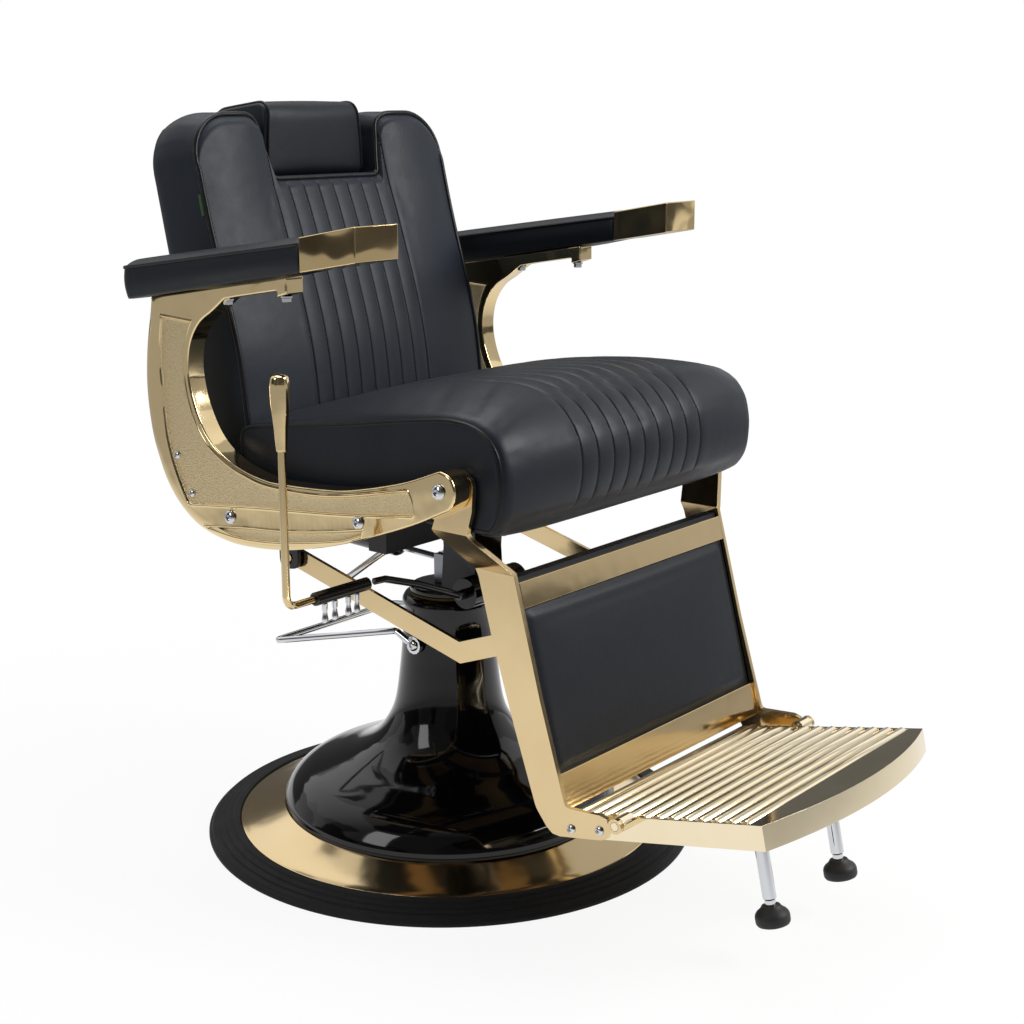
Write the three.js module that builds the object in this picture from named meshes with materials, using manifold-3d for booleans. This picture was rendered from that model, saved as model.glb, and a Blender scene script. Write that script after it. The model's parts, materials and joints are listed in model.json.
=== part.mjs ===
// Hydraulic barber chair. Millimetres, +Z up, origin on the floor under the column's axis.
// The chair faces -Y. The sitter's right is -X, so "right" below is the -X side.
import * as THREE from 'three';
import { mergeVertices } from 'three/addons/utils/BufferGeometryUtils.js';
import Module from 'manifold-3d';

const wasm = await Module();
wasm.setup();

// ---------------------------------------------------------------- driving sizes
const GAP = 0.3;                 // between pieces that touch on the real chair
const RUN = 0.35;                // radial play of a pin in its eye
const SEGMENTS = 36;             // facets round the base
const SHAFT_SEGMENTS = 28;       // facets round the ram and what it runs in

// base
const BASE_RADIUS = 325;
const BUMPER_WIDTH = 42;         // rubber rim, from the trim ring outwards
const BUMPER_STEP = 3;           // each of its concentric steps
const BUMPER_STEPS = 4;
const BUMPER_TOP = 19.5;
const PLATE_THICK = 8;
const PLATE_INSET = 25;          // rubber past the plate's edge
const TRIM_WIDTH = 60;
const TRIM_THICK = 3;
const TRIM_RISE = 17.5;          // height gained from its rim to the skirt
const SKIRT_LIP = 29;            // straight foot under the trumpet, above the plate
const SKIRT_WALL = 5;
const COLUMN_TOP = 320;
const COLUMN_RADIUS = 60;
const COLUMN_CHAMFER = 3;

// hydraulic lift
const RAM_RADIUS = 40;
const CYLINDER_WALL = 4.5;
const CYLINDER_FLOOR = 8;
const CYLINDER_TOP = 262;
const BUSH_LENGTH = 50;
const BUSH_FLANGE = 3;
const BUSH_LIP = 5;
const NECK_WALL = 13;

// pump head
const HEAD_RADIUS = 51;
const HEAD_DISC = 6.5;
const PUMP_Y = -82;              // hand lever's shaft, ahead of the column
const PUMP_Z = 345;
const PUMP_BOSS_RADIUS = 20;
const PUMP_BOSS_LEFT = 40;
const PUMP_BOSS_RIGHT = 62;
const POST_WIDTH = 60;
const POST_FRONT = -70;
const POST_BACK = -14;
const POST_TOP = 437;
const POST_WAIST = 5;            // drawn in on each side
const POST_WAIST_Z = 390;
const VALVE_RADIUS = 6.5;
const VALVE_X = 8;

// hand lever
const LEVER_CLEAR = 41;          // armrest's side to the upright rod
const LEVER_CROSS_Z = 397;       // cross rod and its sleeve
const LEVER_ROD_RADIUS = 4.6;
const LEVER_BEND = 14;
const SLEEVE_RADIUS = 8;
const SLEEVE_LENGTH = 86;
const SLEEVE_SETBACK = 43;       // upright rod to the sleeve's end
const SLEEVE_SOCKET = 36;
const CRANK_KNEE_X = 148;
const CRANK_KNEE_Z = 377;
const CRANK_ROD_RADIUS = 4.4;
const CRANK_SHAFT_RADIUS = 6.4;
const GRIP_TOP = 662;
const GRIP_LENGTH = 86;
const GRIP_TOP_RADIUS = 11;
const GRIP_LOW_RADIUS = 6.4;
const SET_SCREW_RADIUS = 4;
const SET_SCREW_LENGTH = 24;
const SET_SCREW_PLACES = [16, 32, 54, 68]; // from the sleeve's outer end

// rear foot bar
const FOOT_BAR_RADIUS = 4.6;
const FOOT_BAR_WIDTH = 230;
const FOOT_BAR_REACH = 214;
const FOOT_BAR_DROP = 26;
const FOOT_BAR_PIVOT_Z = 262;
const FOOT_BAR_EAR = 12;
const FOOT_BAR_EAR_X = 64.5;
const FOOT_BAR_EAR_THICK = 6;
const FOOT_BAR_SCREW_RADIUS = 4;

// seat
const SEAT_HALF = 250;
const SEAT_BOTTOM = 487;
const SEAT_LIP_DROP = 7;         // the front edge hangs this far over the board
const SEAT_CHANNELS = 8;
const SEAT_CHANNEL_PITCH = 30;
const SEAT_GROOVE = 8;
const SEAT_CROWN = 22;
const BOARD_THICK = 14;
const BOARD_HALF = 188;
const BOARD_FRONT = -252;
const BOARD_BACK = 92;
const CROSS_TUBE_HEIGHT = 27;
const CROSS_TUBE_WIDTH = 28;
const FRONT_TUBE_Y = -120;
const REAR_TUBE_Y = 16;
const MOUNT_PLATE_THICK = 8;
const MOUNT_PLATE_HALF = 78;
const SPINE_WIDTH = 12;

// arms
const ARM_CLEAR = 11;            // cushion's side to the casting: rails, hinge plates and leg eyes run in it
const ARM_THICK = 27.5;
const ARM_PANEL_DEPTH = 2.6;
const ARM_EDGE = 3;              // chamfer of the casting's rims
const ARM_BRACKET_HEIGHT = 15;
const ARM_BRACKET_FRONT = -15;
const ARM_BOLT = [-122, 487];
const ARM_BOLT_RADIUS = 5;
const SIDE_RAIL_THICK = 5;
const PAD_OVERHANG = 5;          // armrest past the casting's inner face
const PAD_WIDTH = 68;
const PAD_BACK = 241;
const PAD_FRONT = -74;
const PAD_BACK_TOP = 761;
const PAD_BACK_LOW = 715;
const PAD_FRONT_TOP = 805.5;
const PAD_FRONT_LOW = 767;
const PAD_CROWN = 4.5;
const CAP_FRONT = -160;
const CAP_FRONT_TOP = 821;
const CAP_FRONT_LOW = 782;
const CAP_WALL = 3;

// back
const BACK_LEAN = 12.4;          // degrees from upright
const BACK_BASE_Y = 125;
const BACK_BASE_Z = 507;
const BACK_HALF = 225;
const BACK_HEIGHT = 441;
const BACK_THICK = 98;
const BACK_CHANNEL_PITCH = 26.4;
const BACK_GROOVE = 5;
const BACK_CROWN = 6;
const BACK_TOP_CROWN = 9;        // shoulders' rise behind the front welt
const BACK_HOLLOW = 17;          // stitched middle behind the bolsters, at the notch
const BACK_HOLLOW_FROM = 150;    // up the back, where the hollow begins
const BACK_SHOULDER = 60;        // rounding of the outer top corners
const NOTCH_HALF = 92;
const NOTCH_MOUTH_HALF = 104;
const NOTCH_FLOOR = 356;         // up the back from its base
const NOTCH_CORNER = 11;
const HEADREST_HALF = 86;
const HEADREST_TAPER = 9;        // each side, from base to top
const HEADREST_GAP = 12;         // over the notch's floor
const HEADREST_HEIGHT = 98;
const STEM_RADIUS = 6;
const STEM_SPREAD = 90;
const STEM_LENGTH = 150;
const STEM_SOCKET = 36;

// recline linkage, [y, z] in the side plane
const RECLINE_PIVOT = [95, 460];
const RECLINE_PIN_RADIUS = 8;
const CRANK_PIN = [95, 390];
const CRANK_THICK = 6;
const CRANK_CLEAR = 3.2;         // between link bar and crank
const LINK_FRONT_PIN = [-272, 353];
const LINK_KNEE = [-183, 320];
const LINK_SETBACK = 23.3;       // calf plate's middle to the link bar's
const LINK_THICK = 5.6;
const LINK_WIDTH = 25;
const LINK_PIN_RADIUS = 5;
const LINK_SPACER_RADIUS = 8;
const OPEN_PIVOT_PLAY = 3;
const HINGE_PLATE_THICK = 4;
const TORQUE_TUBE_RADIUS = 13;
const BACK_BEAM = [236, 503];
const BACK_BEAM_HALF = 13;
const STRAP_INNER = 120;
const STRAP_OUTER = 145;

// gas spring
const GAS_FRONT = [8, 363];
const GAS_REAR = [240, 372];
const GAS_BODY_RADIUS = 13.5;
const GAS_ROD_RADIUS = 4.5;
const GAS_BODY_FRONT = 77;       // from the front eye to the body's end
const GAS_EYE_RADIUS = 11;
const GAS_PIN_RADIUS = 3;
const GAS_EYE_PLAY = 4;
const GAS_CHEEK_THICK = 5;

// leg rest
const LEG_PIVOT = [-244, 540];
const LEG_EYE_RADIUS = 20;
const LEG_BOLT_RADIUS = 6;
const LEG_PLATE_SETBACK = 42.5;  // cushion's side to the middle of the lower plate
const LEG_UPPER_SETBACK = 4;     // casting's inner face to the middle of the upper strap
const LEG_PLATE_THICK = 6;
const JOGGLE_HIGH = 488;
const JOGGLE_LOW = 436;
const CALF_BAR_THICK = 5;
const CALF_PAD_THICK = 18;
const TOP_BAR = [399, 428];
const BOTTOM_BAR = [174, 214];

// footrest
const FOOT_PIVOT = [-427, 177];
const FOOT_SLOPE = 12.56;        // degrees, front edge high
const FOOT_SETBACK = 23.5;       // calf plate's middle to the tray's side
const FOOT_BACK = -347;
const FOOT_CORNER = -597;
const FOOT_SAGITTA = 32;
const FOOT_SIDE_HEIGHT = 28;
const FOOT_WALL = 5;
const FOOT_TOP = 2.1;            // tray's top edge above the pivot, square to the tray
const FOOT_RIBS = 12;
const FOOT_RIB_PITCH = 19.2;
const FOOT_RIB_RADIUS = 7.2;
const FOOT_SKIN = 3;
const FOOT_CRESCENT = 17;        // flat land ahead of the ribs
const KNUCKLE_RADIUS = 9;
const FOOT_LEG_X = 77.3;
const FOOT_LEG_Y = -96;          // ahead of the pivot, square to the tray like the three below
const FOOT_LEG_RADIUS = 8;
const FOOT_PAD_RADIUS = 20;
const FOOT_PAD_LOW = -152;
const FOOT_PAD_HIGH = -129;

// release lever
const RELEASE_X = 150;
const RELEASE_PIVOT = [-88, 452];
const RELEASE_END = [52, 353];
const RELEASE_RADIUS = 4.5;
const RELEASE_PIN_RADIUS = 3.5;

// Planes across the chair that follow from the cushion's width.
const armInner = SEAT_HALF + ARM_CLEAR;
const armOuter = armInner + ARM_THICK;
const padMiddle = armInner - PAD_OVERHANG + PAD_WIDTH / 2;
const leverX = padMiddle + PAD_WIDTH / 2 + LEVER_CLEAR;
const sleeveOuter = leverX - SLEEVE_SETBACK;
const sleeveInner = sleeveOuter - SLEEVE_LENGTH;
const railOuter = armInner - GAP;
const railInner = railOuter - SIDE_RAIL_THICK;
const hingePlateOuter = railInner - 0.5;
const hingePlateInner = hingePlateOuter - HINGE_PLATE_THICK;
const legUpperX = armInner - LEG_UPPER_SETBACK;
const legPlateX = SEAT_HALF - LEG_PLATE_SETBACK;
const legPlateInner = legPlateX - LEG_PLATE_THICK / 2;
const legPlateOuter = legPlateX + LEG_PLATE_THICK / 2;
const linkX = legPlateX - LINK_SETBACK;
const linkInner = linkX - LINK_THICK / 2;
const linkOuter = linkX + LINK_THICK / 2;
const crankInner = linkOuter + CRANK_CLEAR;
const crankOuter = crankInner + CRANK_THICK;
const footHalf = legPlateX - FOOT_SETBACK;

// ---------------------------------------------------------------- finishes
const finishes = {
  gold: { color: 0xd8bd8c, roughness: 0.12, metalness: 1 },
  chrome: { color: 0xc9cbd0, roughness: 0.08, metalness: 1 },
  enamel: { color: 0x07070a, roughness: 0.08, metalness: 0 },
  steel: { color: 0x1b1b1d, roughness: 0.4, metalness: 0.6 },
  zinc: { color: 0x8d9094, roughness: 0.45, metalness: 1 },
  bronze: { color: 0x9a7b4a, roughness: 0.4, metalness: 1 },
  leatherette: { color: 0x2b2d31, roughness: 0.5, metalness: 0 },
  rubber: { color: 0x17171a, roughness: 0.7, metalness: 0 },
  board: { color: 0x9c7b50, roughness: 0.8, metalness: 0 },
};

// ---------------------------------------------------------------- geometry helpers
const sideToWorld = new THREE.Matrix4().set(0, 0, 1, 0, 1, 0, 0, 0, 0, 1, 0, 0, 0, 0, 0, 1);
const toPoint = ([a, b]) => new THREE.Vector2(a, b);
const toPair = (point) => [point.x, point.y];
const shift = (x, y, z) => new THREE.Matrix4().makeTranslation(x, y, z);

function signedVolume(geometry) {
  const p = geometry.attributes.position;
  const index = geometry.index.array;
  const a = new THREE.Vector3();
  const b = new THREE.Vector3();
  const c = new THREE.Vector3();
  let sum = 0;
  for (let i = 0; i < index.length; i += 3) {
    a.fromBufferAttribute(p, index[i]);
    b.fromBufferAttribute(p, index[i + 1]);
    c.fromBufferAttribute(p, index[i + 2]);
    sum += a.dot(b.cross(c)) / 6;
  }
  return sum;
}

// A closed three.js geometry as a manifold solid with its faces pointing out.
function solid(geometry) {
  const bare = geometry.clone();
  for (const name of Object.keys(bare.attributes)) {
    if (name !== 'position') bare.deleteAttribute(name);
  }
  const merged = mergeVertices(bare, 1e-3);
  const outward = signedVolume(merged) > 0;
  const index = merged.index.array;
  const keep = [];
  for (let i = 0; i < index.length; i += 3) {
    const [a, b, c] = [index[i], index[i + 1], index[i + 2]];
    if (a === b || b === c || c === a) continue;
    keep.push(a, ...(outward ? [b, c] : [c, b]));
  }
  return new wasm.Manifold(new wasm.Mesh({
    numProp: 3,
    vertProperties: Float32Array.from(merged.attributes.position.array),
    triVerts: Uint32Array.from(keep),
  }));
}

function toGeometry(manifold) {
  const mesh = manifold.getMesh();
  const geometry = new THREE.BufferGeometry();
  geometry.setAttribute('position', new THREE.BufferAttribute(Float32Array.from(mesh.vertProperties), 3));
  geometry.setIndex(Array.from(mesh.triVerts));
  const flat = geometry.toNonIndexed();
  flat.computeVertexNormals();
  return flat;
}

const join = (first, ...rest) => rest.reduce((sum, next) => sum.add(next), first);
const cut = (first, ...rest) => rest.reduce((sum, next) => sum.subtract(next), first);

// A box between two corners.
function box(low, high) {
  const size = high.map((value, i) => value - low[i]);
  const geometry = new THREE.BoxGeometry(...size);
  return solid(geometry.translate(...low.map((value, i) => value + size[i] / 2)));
}

// A cylinder or cone between two points.
function rod(from, to, radius, endRadius = radius, sides = 12) {
  const a = new THREE.Vector3(...from);
  const b = new THREE.Vector3(...to);
  const geometry = new THREE.CylinderGeometry(endRadius, radius, a.distanceTo(b), sides);
  const along = b.clone().sub(a).normalize();
  geometry.applyQuaternion(new THREE.Quaternion().setFromUnitVectors(new THREE.Vector3(0, 1, 0), along));
  const middle = a.add(b).multiplyScalar(0.5);
  return solid(geometry.translate(middle.x, middle.y, middle.z));
}

// A rod along X at [y, z].
const crossRod = (yz, x0, x1, radius, sides = 12) => rod([x0, ...yz], [x1, ...yz], radius, radius, sides);

// A solid of revolution about Z, then placed. The profile of [radius, z] starts and ends on the axis
// or closes on itself.
function turned(profile, segments = SEGMENTS, where = new THREE.Matrix4()) {
  const points = profile.map(toPoint);
  if (profile[0][0] > 0) points.push(points[0].clone());
  const geometry = new THREE.LatheGeometry(points, segments).rotateX(Math.PI / 2);
  return solid(geometry.applyMatrix4(where));
}

// A plate cut to a closed outline of [y, z] points, from x0 to x1, its rims chamfered by edge.
function sidePlate(outline, x0, x1, edge = 0) {
  const geometry = new THREE.ExtrudeGeometry(new THREE.Shape(outline.map(toPoint)), {
    depth: Math.abs(x1 - x0) - 2 * edge,
    bevelEnabled: edge > 0,
    bevelThickness: edge,
    bevelSize: edge,
    bevelOffset: -edge,
    bevelSegments: 1,
  });
  return solid(geometry.applyMatrix4(sideToWorld).translate(Math.min(x0, x1) + edge, 0, 0));
}

// A plate cut to a [x, z] outline, from y0 to y1.
function frontPlate(outline, y0, y1) {
  const shape = new THREE.Shape(outline.map(toPoint));
  const geometry = new THREE.ExtrudeGeometry(shape, { depth: y1 - y0, bevelEnabled: false });
  return solid(geometry.rotateX(Math.PI / 2).translate(0, y1, 0));
}

// A round rod bent through the points, with the same reach of bend at each corner.
function bentRod(points, bend, radius, sides = 8, steps = 4) {
  const corners = points.map((point) => new THREE.Vector3(...point));
  const path = [corners[0]];
  for (let i = 1; i < corners.length - 1; i += 1) {
    const before = corners[i - 1].clone().sub(corners[i]).normalize();
    const after = corners[i + 1].clone().sub(corners[i]).normalize();
    const reach = bend / Math.tan(before.angleTo(after) / 2);
    const start = corners[i].clone().addScaledVector(before, reach);
    const end = corners[i].clone().addScaledVector(after, reach);
    path.push(...new THREE.QuadraticBezierCurve3(start, corners[i], end).getPoints(steps));
  }
  path.push(corners[corners.length - 1]);
  const positions = [];
  const side = new THREE.Vector3(0, 0, 1);
  path.forEach((point, i) => {
    const ahead = path[Math.min(i + 1, path.length - 1)].clone().sub(point).normalize();
    const behind = point.clone().sub(path[Math.max(i - 1, 0)]).normalize();
    const along = ahead.add(behind).normalize();
    side.addScaledVector(along, -side.dot(along)).normalize();
    const other = along.clone().cross(side);
    for (let k = 0; k < sides; k += 1) {
      const angle = (k / sides) * Math.PI * 2;
      const rim = point.clone().addScaledVector(side, Math.cos(angle) * radius);
      positions.push(...rim.addScaledVector(other, Math.sin(angle) * radius).toArray());
    }
  });
  return ringSolid(positions, path.length, sides);
}

// Rings of equal count joined into a closed skin, with a flat fan on each end.
function ringSolid(positions, rings, sides) {
  const index = [];
  for (let i = 0; i < rings - 1; i += 1) {
    for (let k = 0; k < sides; k += 1) {
      const next = (k + 1) % sides;
      const [a, b, c, d] = [i * sides + k, i * sides + next, (i + 1) * sides + next, (i + 1) * sides + k];
      index.push(a, b, c, a, c, d);
    }
  }
  const first = positions.length / 3;
  for (const ring of [0, rings - 1]) {
    const centre = [0, 0, 0];
    for (let k = 0; k < sides * 3; k += 1) {
      centre[k % 3] += positions[ring * sides * 3 + k] / sides;
    }
    positions.push(...centre);
  }
  const last = (rings - 1) * sides;
  for (let k = 0; k < sides; k += 1) {
    const next = (k + 1) % sides;
    index.push(first, next, k, first + 1, last + k, last + next);
  }
  const geometry = new THREE.BufferGeometry();
  geometry.setAttribute('position', new THREE.Float32BufferAttribute(positions, 3));
  geometry.setIndex(index);
  return solid(geometry);
}

// Corners [a, b, rounding] as a closed outline, each rounding drawn as a quadratic arc.
function roundedOutline(corners, steps = 3) {
  const count = corners.length;
  return corners.flatMap(([a, b, radius = 0], i) => {
    const here = toPoint([a, b]);
    if (radius === 0) return [toPair(here)];
    const before = toPoint(corners[(i + count - 1) % count]).sub(here).normalize();
    const after = toPoint(corners[(i + 1) % count]).sub(here).normalize();
    const half = Math.acos(THREE.MathUtils.clamp(before.dot(after), -1, 1)) / 2;
    const reach = radius / Math.tan(half);
    const start = here.clone().addScaledVector(before, reach);
    const end = here.clone().addScaledVector(after, reach);
    return new THREE.QuadraticBezierCurve(start, here, end).getPoints(steps).map(toPair);
  });
}

// A smooth run through the points, without its last one, so that runs follow each other.
function smoothRun(points, steps) {
  return new THREE.SplineCurve(points.map(toPoint)).getPoints(steps).slice(0, -1).map(toPair);
}

const group = new THREE.Group();
group.name = 'hydraulic_barber_chair';

function addPiece(name, manifold, finish) {
  const mesh = new THREE.Mesh(toGeometry(manifold), new THREE.MeshStandardMaterial(finishes[finish]));
  mesh.name = name;
  group.add(mesh);
}

// The same piece on both sides of the chair: make(side) gets -1 for the right and +1 for the left.
function addPair(name, make, finish) {
  addPiece(`${name}_right`, make(-1), finish);
  addPiece(`${name}_left`, make(1), finish);
}

// x from the middle plane to the given side.
const across = (side, near, far) => (side < 0 ? [-far, -near] : [near, far]);

// Height at y on the straight line between two points.
const slopeAt = (y, y0, z0, y1, z1) => z0 + ((y - y0) * (z1 - z0)) / (y1 - y0);

// ---------------------------------------------------------------- base
const trimRadius = BASE_RADIUS - BUMPER_WIDTH;
const skirtFoot = trimRadius - TRIM_WIDTH;
const plateRadius = BASE_RADIUS - PLATE_INSET;
const skirtBottom = PLATE_THICK + GAP;
const skirtLipTop = skirtBottom + SKIRT_LIP;
const trimInner = skirtFoot + GAP;
const trimTop = BUMPER_TOP - 1;

function basePlate() {
  return turned([[0, 0], [plateRadius, 0], [plateRadius, PLATE_THICK], [0, PLATE_THICK]]);
}

function bumperRing() {
  const inner = trimRadius + GAP;
  const width = BASE_RADIUS - inner;
  const steps = [];
  for (let i = 0; i < BUMPER_STEPS; i += 1) {
    const height = BUMPER_TOP - i * BUMPER_STEP;
    steps.push([inner + (0.08 + 0.2 * i) * width, height], [inner + (0.25 + 0.2 * i) * width, height]);
  }
  return turned([
    [inner, skirtBottom], [inner, BUMPER_TOP - 2], ...steps,
    [BASE_RADIUS - 3, BUMPER_TOP - BUMPER_STEPS * BUMPER_STEP - 1], [BASE_RADIUS, 3.5], [BASE_RADIUS, 0],
    [plateRadius + GAP, 0], [plateRadius + GAP, skirtBottom],
  ]);
}

function trimRing() {
  const high = trimTop + TRIM_RISE;
  return turned([
    [trimRadius, skirtBottom], [trimRadius, trimTop - 1.5], [trimRadius - 2, trimTop],
    [trimInner, high], [trimInner, high - TRIM_THICK],
    [trimRadius - TRIM_THICK - 2, trimTop - TRIM_THICK], [trimRadius - TRIM_THICK, skirtBottom],
  ]);
}

// Trumpet profile as [share of the way from the column's radius to the foot's, height].
const trumpetOutside = [
  [0.985, 50], [0.92, 66], [0.8, 80], [0.61, 92], [0.417, 104], [0.258, 121], [0.147, 144], [0.075, 173],
  [0.03, 225],
];
const trumpetInside = [[-0.03, 266], [0, 200], [0.09, 143], [0.22, 112], [0.5, 88], [0.93, 50]];
const bushRadius = COLUMN_RADIUS - NECK_WALL;
const neckFloor = COLUMN_TOP - BUSH_LENGTH;

function pedestalSkirt() {
  const flare = ([share, z]) => [COLUMN_RADIUS + share * (skirtFoot - COLUMN_RADIUS), z];
  return turned([
    [skirtFoot, skirtBottom], [skirtFoot, skirtLipTop], ...trumpetOutside.map(flare),
    [COLUMN_RADIUS, COLUMN_TOP - 2 * COLUMN_CHAMFER], [COLUMN_RADIUS - COLUMN_CHAMFER, COLUMN_TOP],
    [bushRadius, COLUMN_TOP], [bushRadius, neckFloor - 4],
    ...trumpetInside.map(flare), [skirtFoot - SKIRT_WALL, skirtBottom],
  ]);
}

function guideBush() {
  const bore = RAM_RADIUS + RUN;
  const outer = bushRadius - GAP;
  const top = COLUMN_TOP + GAP;
  return turned([
    [bore, neckFloor + 2], [outer, neckFloor + 2], [outer, top], [outer + BUSH_LIP, top],
    [outer + BUSH_LIP, top + BUSH_FLANGE], [bore, top + BUSH_FLANGE],
  ], SHAFT_SEGMENTS);
}

function hydraulicCylinder() {
  const bore = RAM_RADIUS + RUN;
  const floor = skirtBottom + CYLINDER_FLOOR;
  return turned([
    [0, skirtBottom], [bore + CYLINDER_WALL, skirtBottom], [bore + CYLINDER_WALL, CYLINDER_TOP],
    [bore, CYLINDER_TOP], [bore, floor], [0, floor],
  ], SHAFT_SEGMENTS);
}

addPiece('base_plate', basePlate(), 'steel');
addPiece('bumper_ring', bumperRing(), 'rubber');
addPiece('trim_ring', trimRing(), 'gold');
addPiece('pedestal_skirt', pedestalSkirt(), 'enamel');
addPiece('guide_bush', guideBush(), 'bronze');
addPiece('hydraulic_cylinder', hydraulicCylinder(), 'steel');

// Rear foot bar: a bent loop on two screws in the column's sides.
function footBar() {
  const half = FOOT_BAR_WIDTH / 2;
  const rear = FOOT_BAR_PIVOT_Z - FOOT_BAR_DROP;
  const hip = FOOT_BAR_EAR_X + FOOT_BAR_RADIUS;
  const rightHalf = [
    [-hip, FOOT_BAR_EAR - 4, FOOT_BAR_PIVOT_Z + 2],
    [-hip - 1, 30, FOOT_BAR_PIVOT_Z + 14],
    [-half, FOOT_BAR_REACH, rear],
  ];
  const leftHalf = rightHalf.map(([x, y, z]) => [-x, y, z]).reverse();
  const loop = bentRod([...rightHalf, ...leftHalf], 9, FOOT_BAR_RADIUS, 8, 3);
  const pivot = [0, FOOT_BAR_PIVOT_Z];
  const ears = [-1, 1].map((side) => crossRod(
    pivot, ...across(side, FOOT_BAR_EAR_X, FOOT_BAR_EAR_X + FOOT_BAR_EAR_THICK), FOOT_BAR_EAR));
  return cut(join(loop, ...ears), crossRod(pivot, -half, half, FOOT_BAR_SCREW_RADIUS + RUN, 10));
}

function footBarScrew(side) {
  const face = FOOT_BAR_EAR_X + FOOT_BAR_EAR_THICK;
  const pivot = [0, FOOT_BAR_PIVOT_Z];
  const shank = crossRod(pivot, ...across(side, FOOT_BAR_EAR_X - 1, face + 1), FOOT_BAR_SCREW_RADIUS, 10);
  const head = rod([side * (face + 0.4), ...pivot], [side * (face + 4), ...pivot], 7.5, 4.5);
  return join(shank, head);
}

addPiece('foot_bar', footBar(), 'chrome');
addPair('foot_bar_screw', footBarScrew, 'chrome');

// ---------------------------------------------------------------- lift and pump head
const ramBottom = skirtBottom + CYLINDER_FLOOR + GAP;
const ramTop = COLUMN_TOP + GAP + BUSH_FLANGE + 1;
const headBottom = ramTop + GAP;
const headTop = headBottom + HEAD_DISC;

function ram() {
  return turned([[0, ramBottom], [RAM_RADIUS, ramBottom], [RAM_RADIUS, ramTop], [0, ramTop]], SHAFT_SEGMENTS);
}

function pumpHead() {
  const disc = turned([
    [0, headBottom], [HEAD_RADIUS, headBottom], [HEAD_RADIUS, headTop - 2], [HEAD_RADIUS - 3, headTop],
    [0, headTop],
  ], SHAFT_SEGMENTS);
  const neck = box([-26, PUMP_Y, headBottom], [26, POST_BACK - 6, headTop + 6]);
  const boss = crossRod([PUMP_Y, PUMP_Z], -PUMP_BOSS_RIGHT, PUMP_BOSS_LEFT, PUMP_BOSS_RADIUS, 24);
  const half = POST_WIDTH / 2;
  const post = frontPlate([
    [-half, headTop - 1], [half, headTop - 1], [half - POST_WAIST, POST_WAIST_Z],
    [half, POST_TOP], [-half, POST_TOP], [POST_WAIST - half, POST_WAIST_Z],
  ], POST_FRONT, POST_BACK);
  const bore = crossRod([PUMP_Y, PUMP_Z], -PUMP_BOSS_RIGHT - 1, -18, CRANK_SHAFT_RADIUS + RUN);
  return cut(join(disc, neck, boss, post), bore);
}

// Forked lug behind the post that carries the gas spring's front pin.
function gasLug() {
  const [y, z] = GAS_FRONT;
  const foot = headTop + GAP;
  const block = sidePlate([[y - 10, foot], [y + 9, foot], [y + 9, z + 8], [y - 10, z + 8]], -9.5, 9.5);
  const slot = box([-5, y - 11, headTop + 12], [5, y + 10, z + 9]);
  return join(cut(block, slot), crossRod(GAS_FRONT, -9, 9, GAS_PIN_RADIUS, 10));
}

// Hexagonal valve screw standing just ahead of the pump's boss.
function releaseValve() {
  const y = PUMP_Y - PUMP_BOSS_RADIUS - VALVE_RADIUS - GAP;
  const piece = (low, high, radius, sides) => rod([VALVE_X, y, low], [VALVE_X, y, high], radius, radius, sides);
  return join(piece(326, 350, VALVE_RADIUS, 6), piece(349, 356, 3.5), piece(320, 327, 4));
}

addPiece('ram', ram(), 'chrome');
addPiece('pump_head', pumpHead(), 'enamel');
addPiece('gas_spring_lug', gasLug(), 'zinc');
addPiece('release_valve', releaseValve(), 'chrome');

// ---------------------------------------------------------------- hand lever
function leverCrank() {
  const rodPath = [
    [-sleeveInner + 12, PUMP_Y, LEVER_CROSS_Z], [-sleeveInner + 30, PUMP_Y, LEVER_CROSS_Z - 1],
    [-CRANK_KNEE_X, PUMP_Y, CRANK_KNEE_Z], [-PUMP_BOSS_RIGHT - 14, PUMP_Y, PUMP_Z + 2],
    [-PUMP_BOSS_RIGHT - 3, PUMP_Y, PUMP_Z],
  ];
  const shaft = crossRod([PUMP_Y, PUMP_Z], -PUMP_BOSS_RIGHT - 12, -20, CRANK_SHAFT_RADIUS);
  return join(bentRod(rodPath, 4, CRANK_ROD_RADIUS), shaft);
}

function leverSleeve() {
  const axis = [PUMP_Y, LEVER_CROSS_Z];
  const body = crossRod(axis, -sleeveOuter, -sleeveInner, SLEEVE_RADIUS);
  const crankSeat = crossRod(axis, -sleeveInner - SLEEVE_SOCKET, -sleeveInner + 1, CRANK_ROD_RADIUS + GAP, 10);
  const rodSeat = crossRod(axis, -sleeveOuter - 1, -sleeveOuter + SLEEVE_SOCKET, LEVER_ROD_RADIUS + GAP, 10);
  return cut(body, crankSeat, rodSeat);
}

// Long set screw under the sleeve, with a waisted head.
function setScrew(place) {
  const top = LEVER_CROSS_Z - SLEEVE_RADIUS - GAP;
  const low = top - SET_SCREW_LENGTH;
  const r = SET_SCREW_RADIUS;
  const profile = [[0, low], [r - 1.6, low], [r, low + 3], [r - 1.2, top - 9], [r - 0.4, top], [0, top]];
  return turned(profile, 10, shift(place - sleeveOuter, PUMP_Y, 0));
}

const gripLow = GRIP_TOP - GRIP_LENGTH;
function leverRod() {
  return bentRod([
    [SLEEVE_SOCKET - 2 - sleeveOuter, PUMP_Y, LEVER_CROSS_Z], [-leverX, PUMP_Y, LEVER_CROSS_Z],
    [-leverX, PUMP_Y, gripLow + 6],
  ], LEVER_BEND, LEVER_ROD_RADIUS);
}

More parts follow.
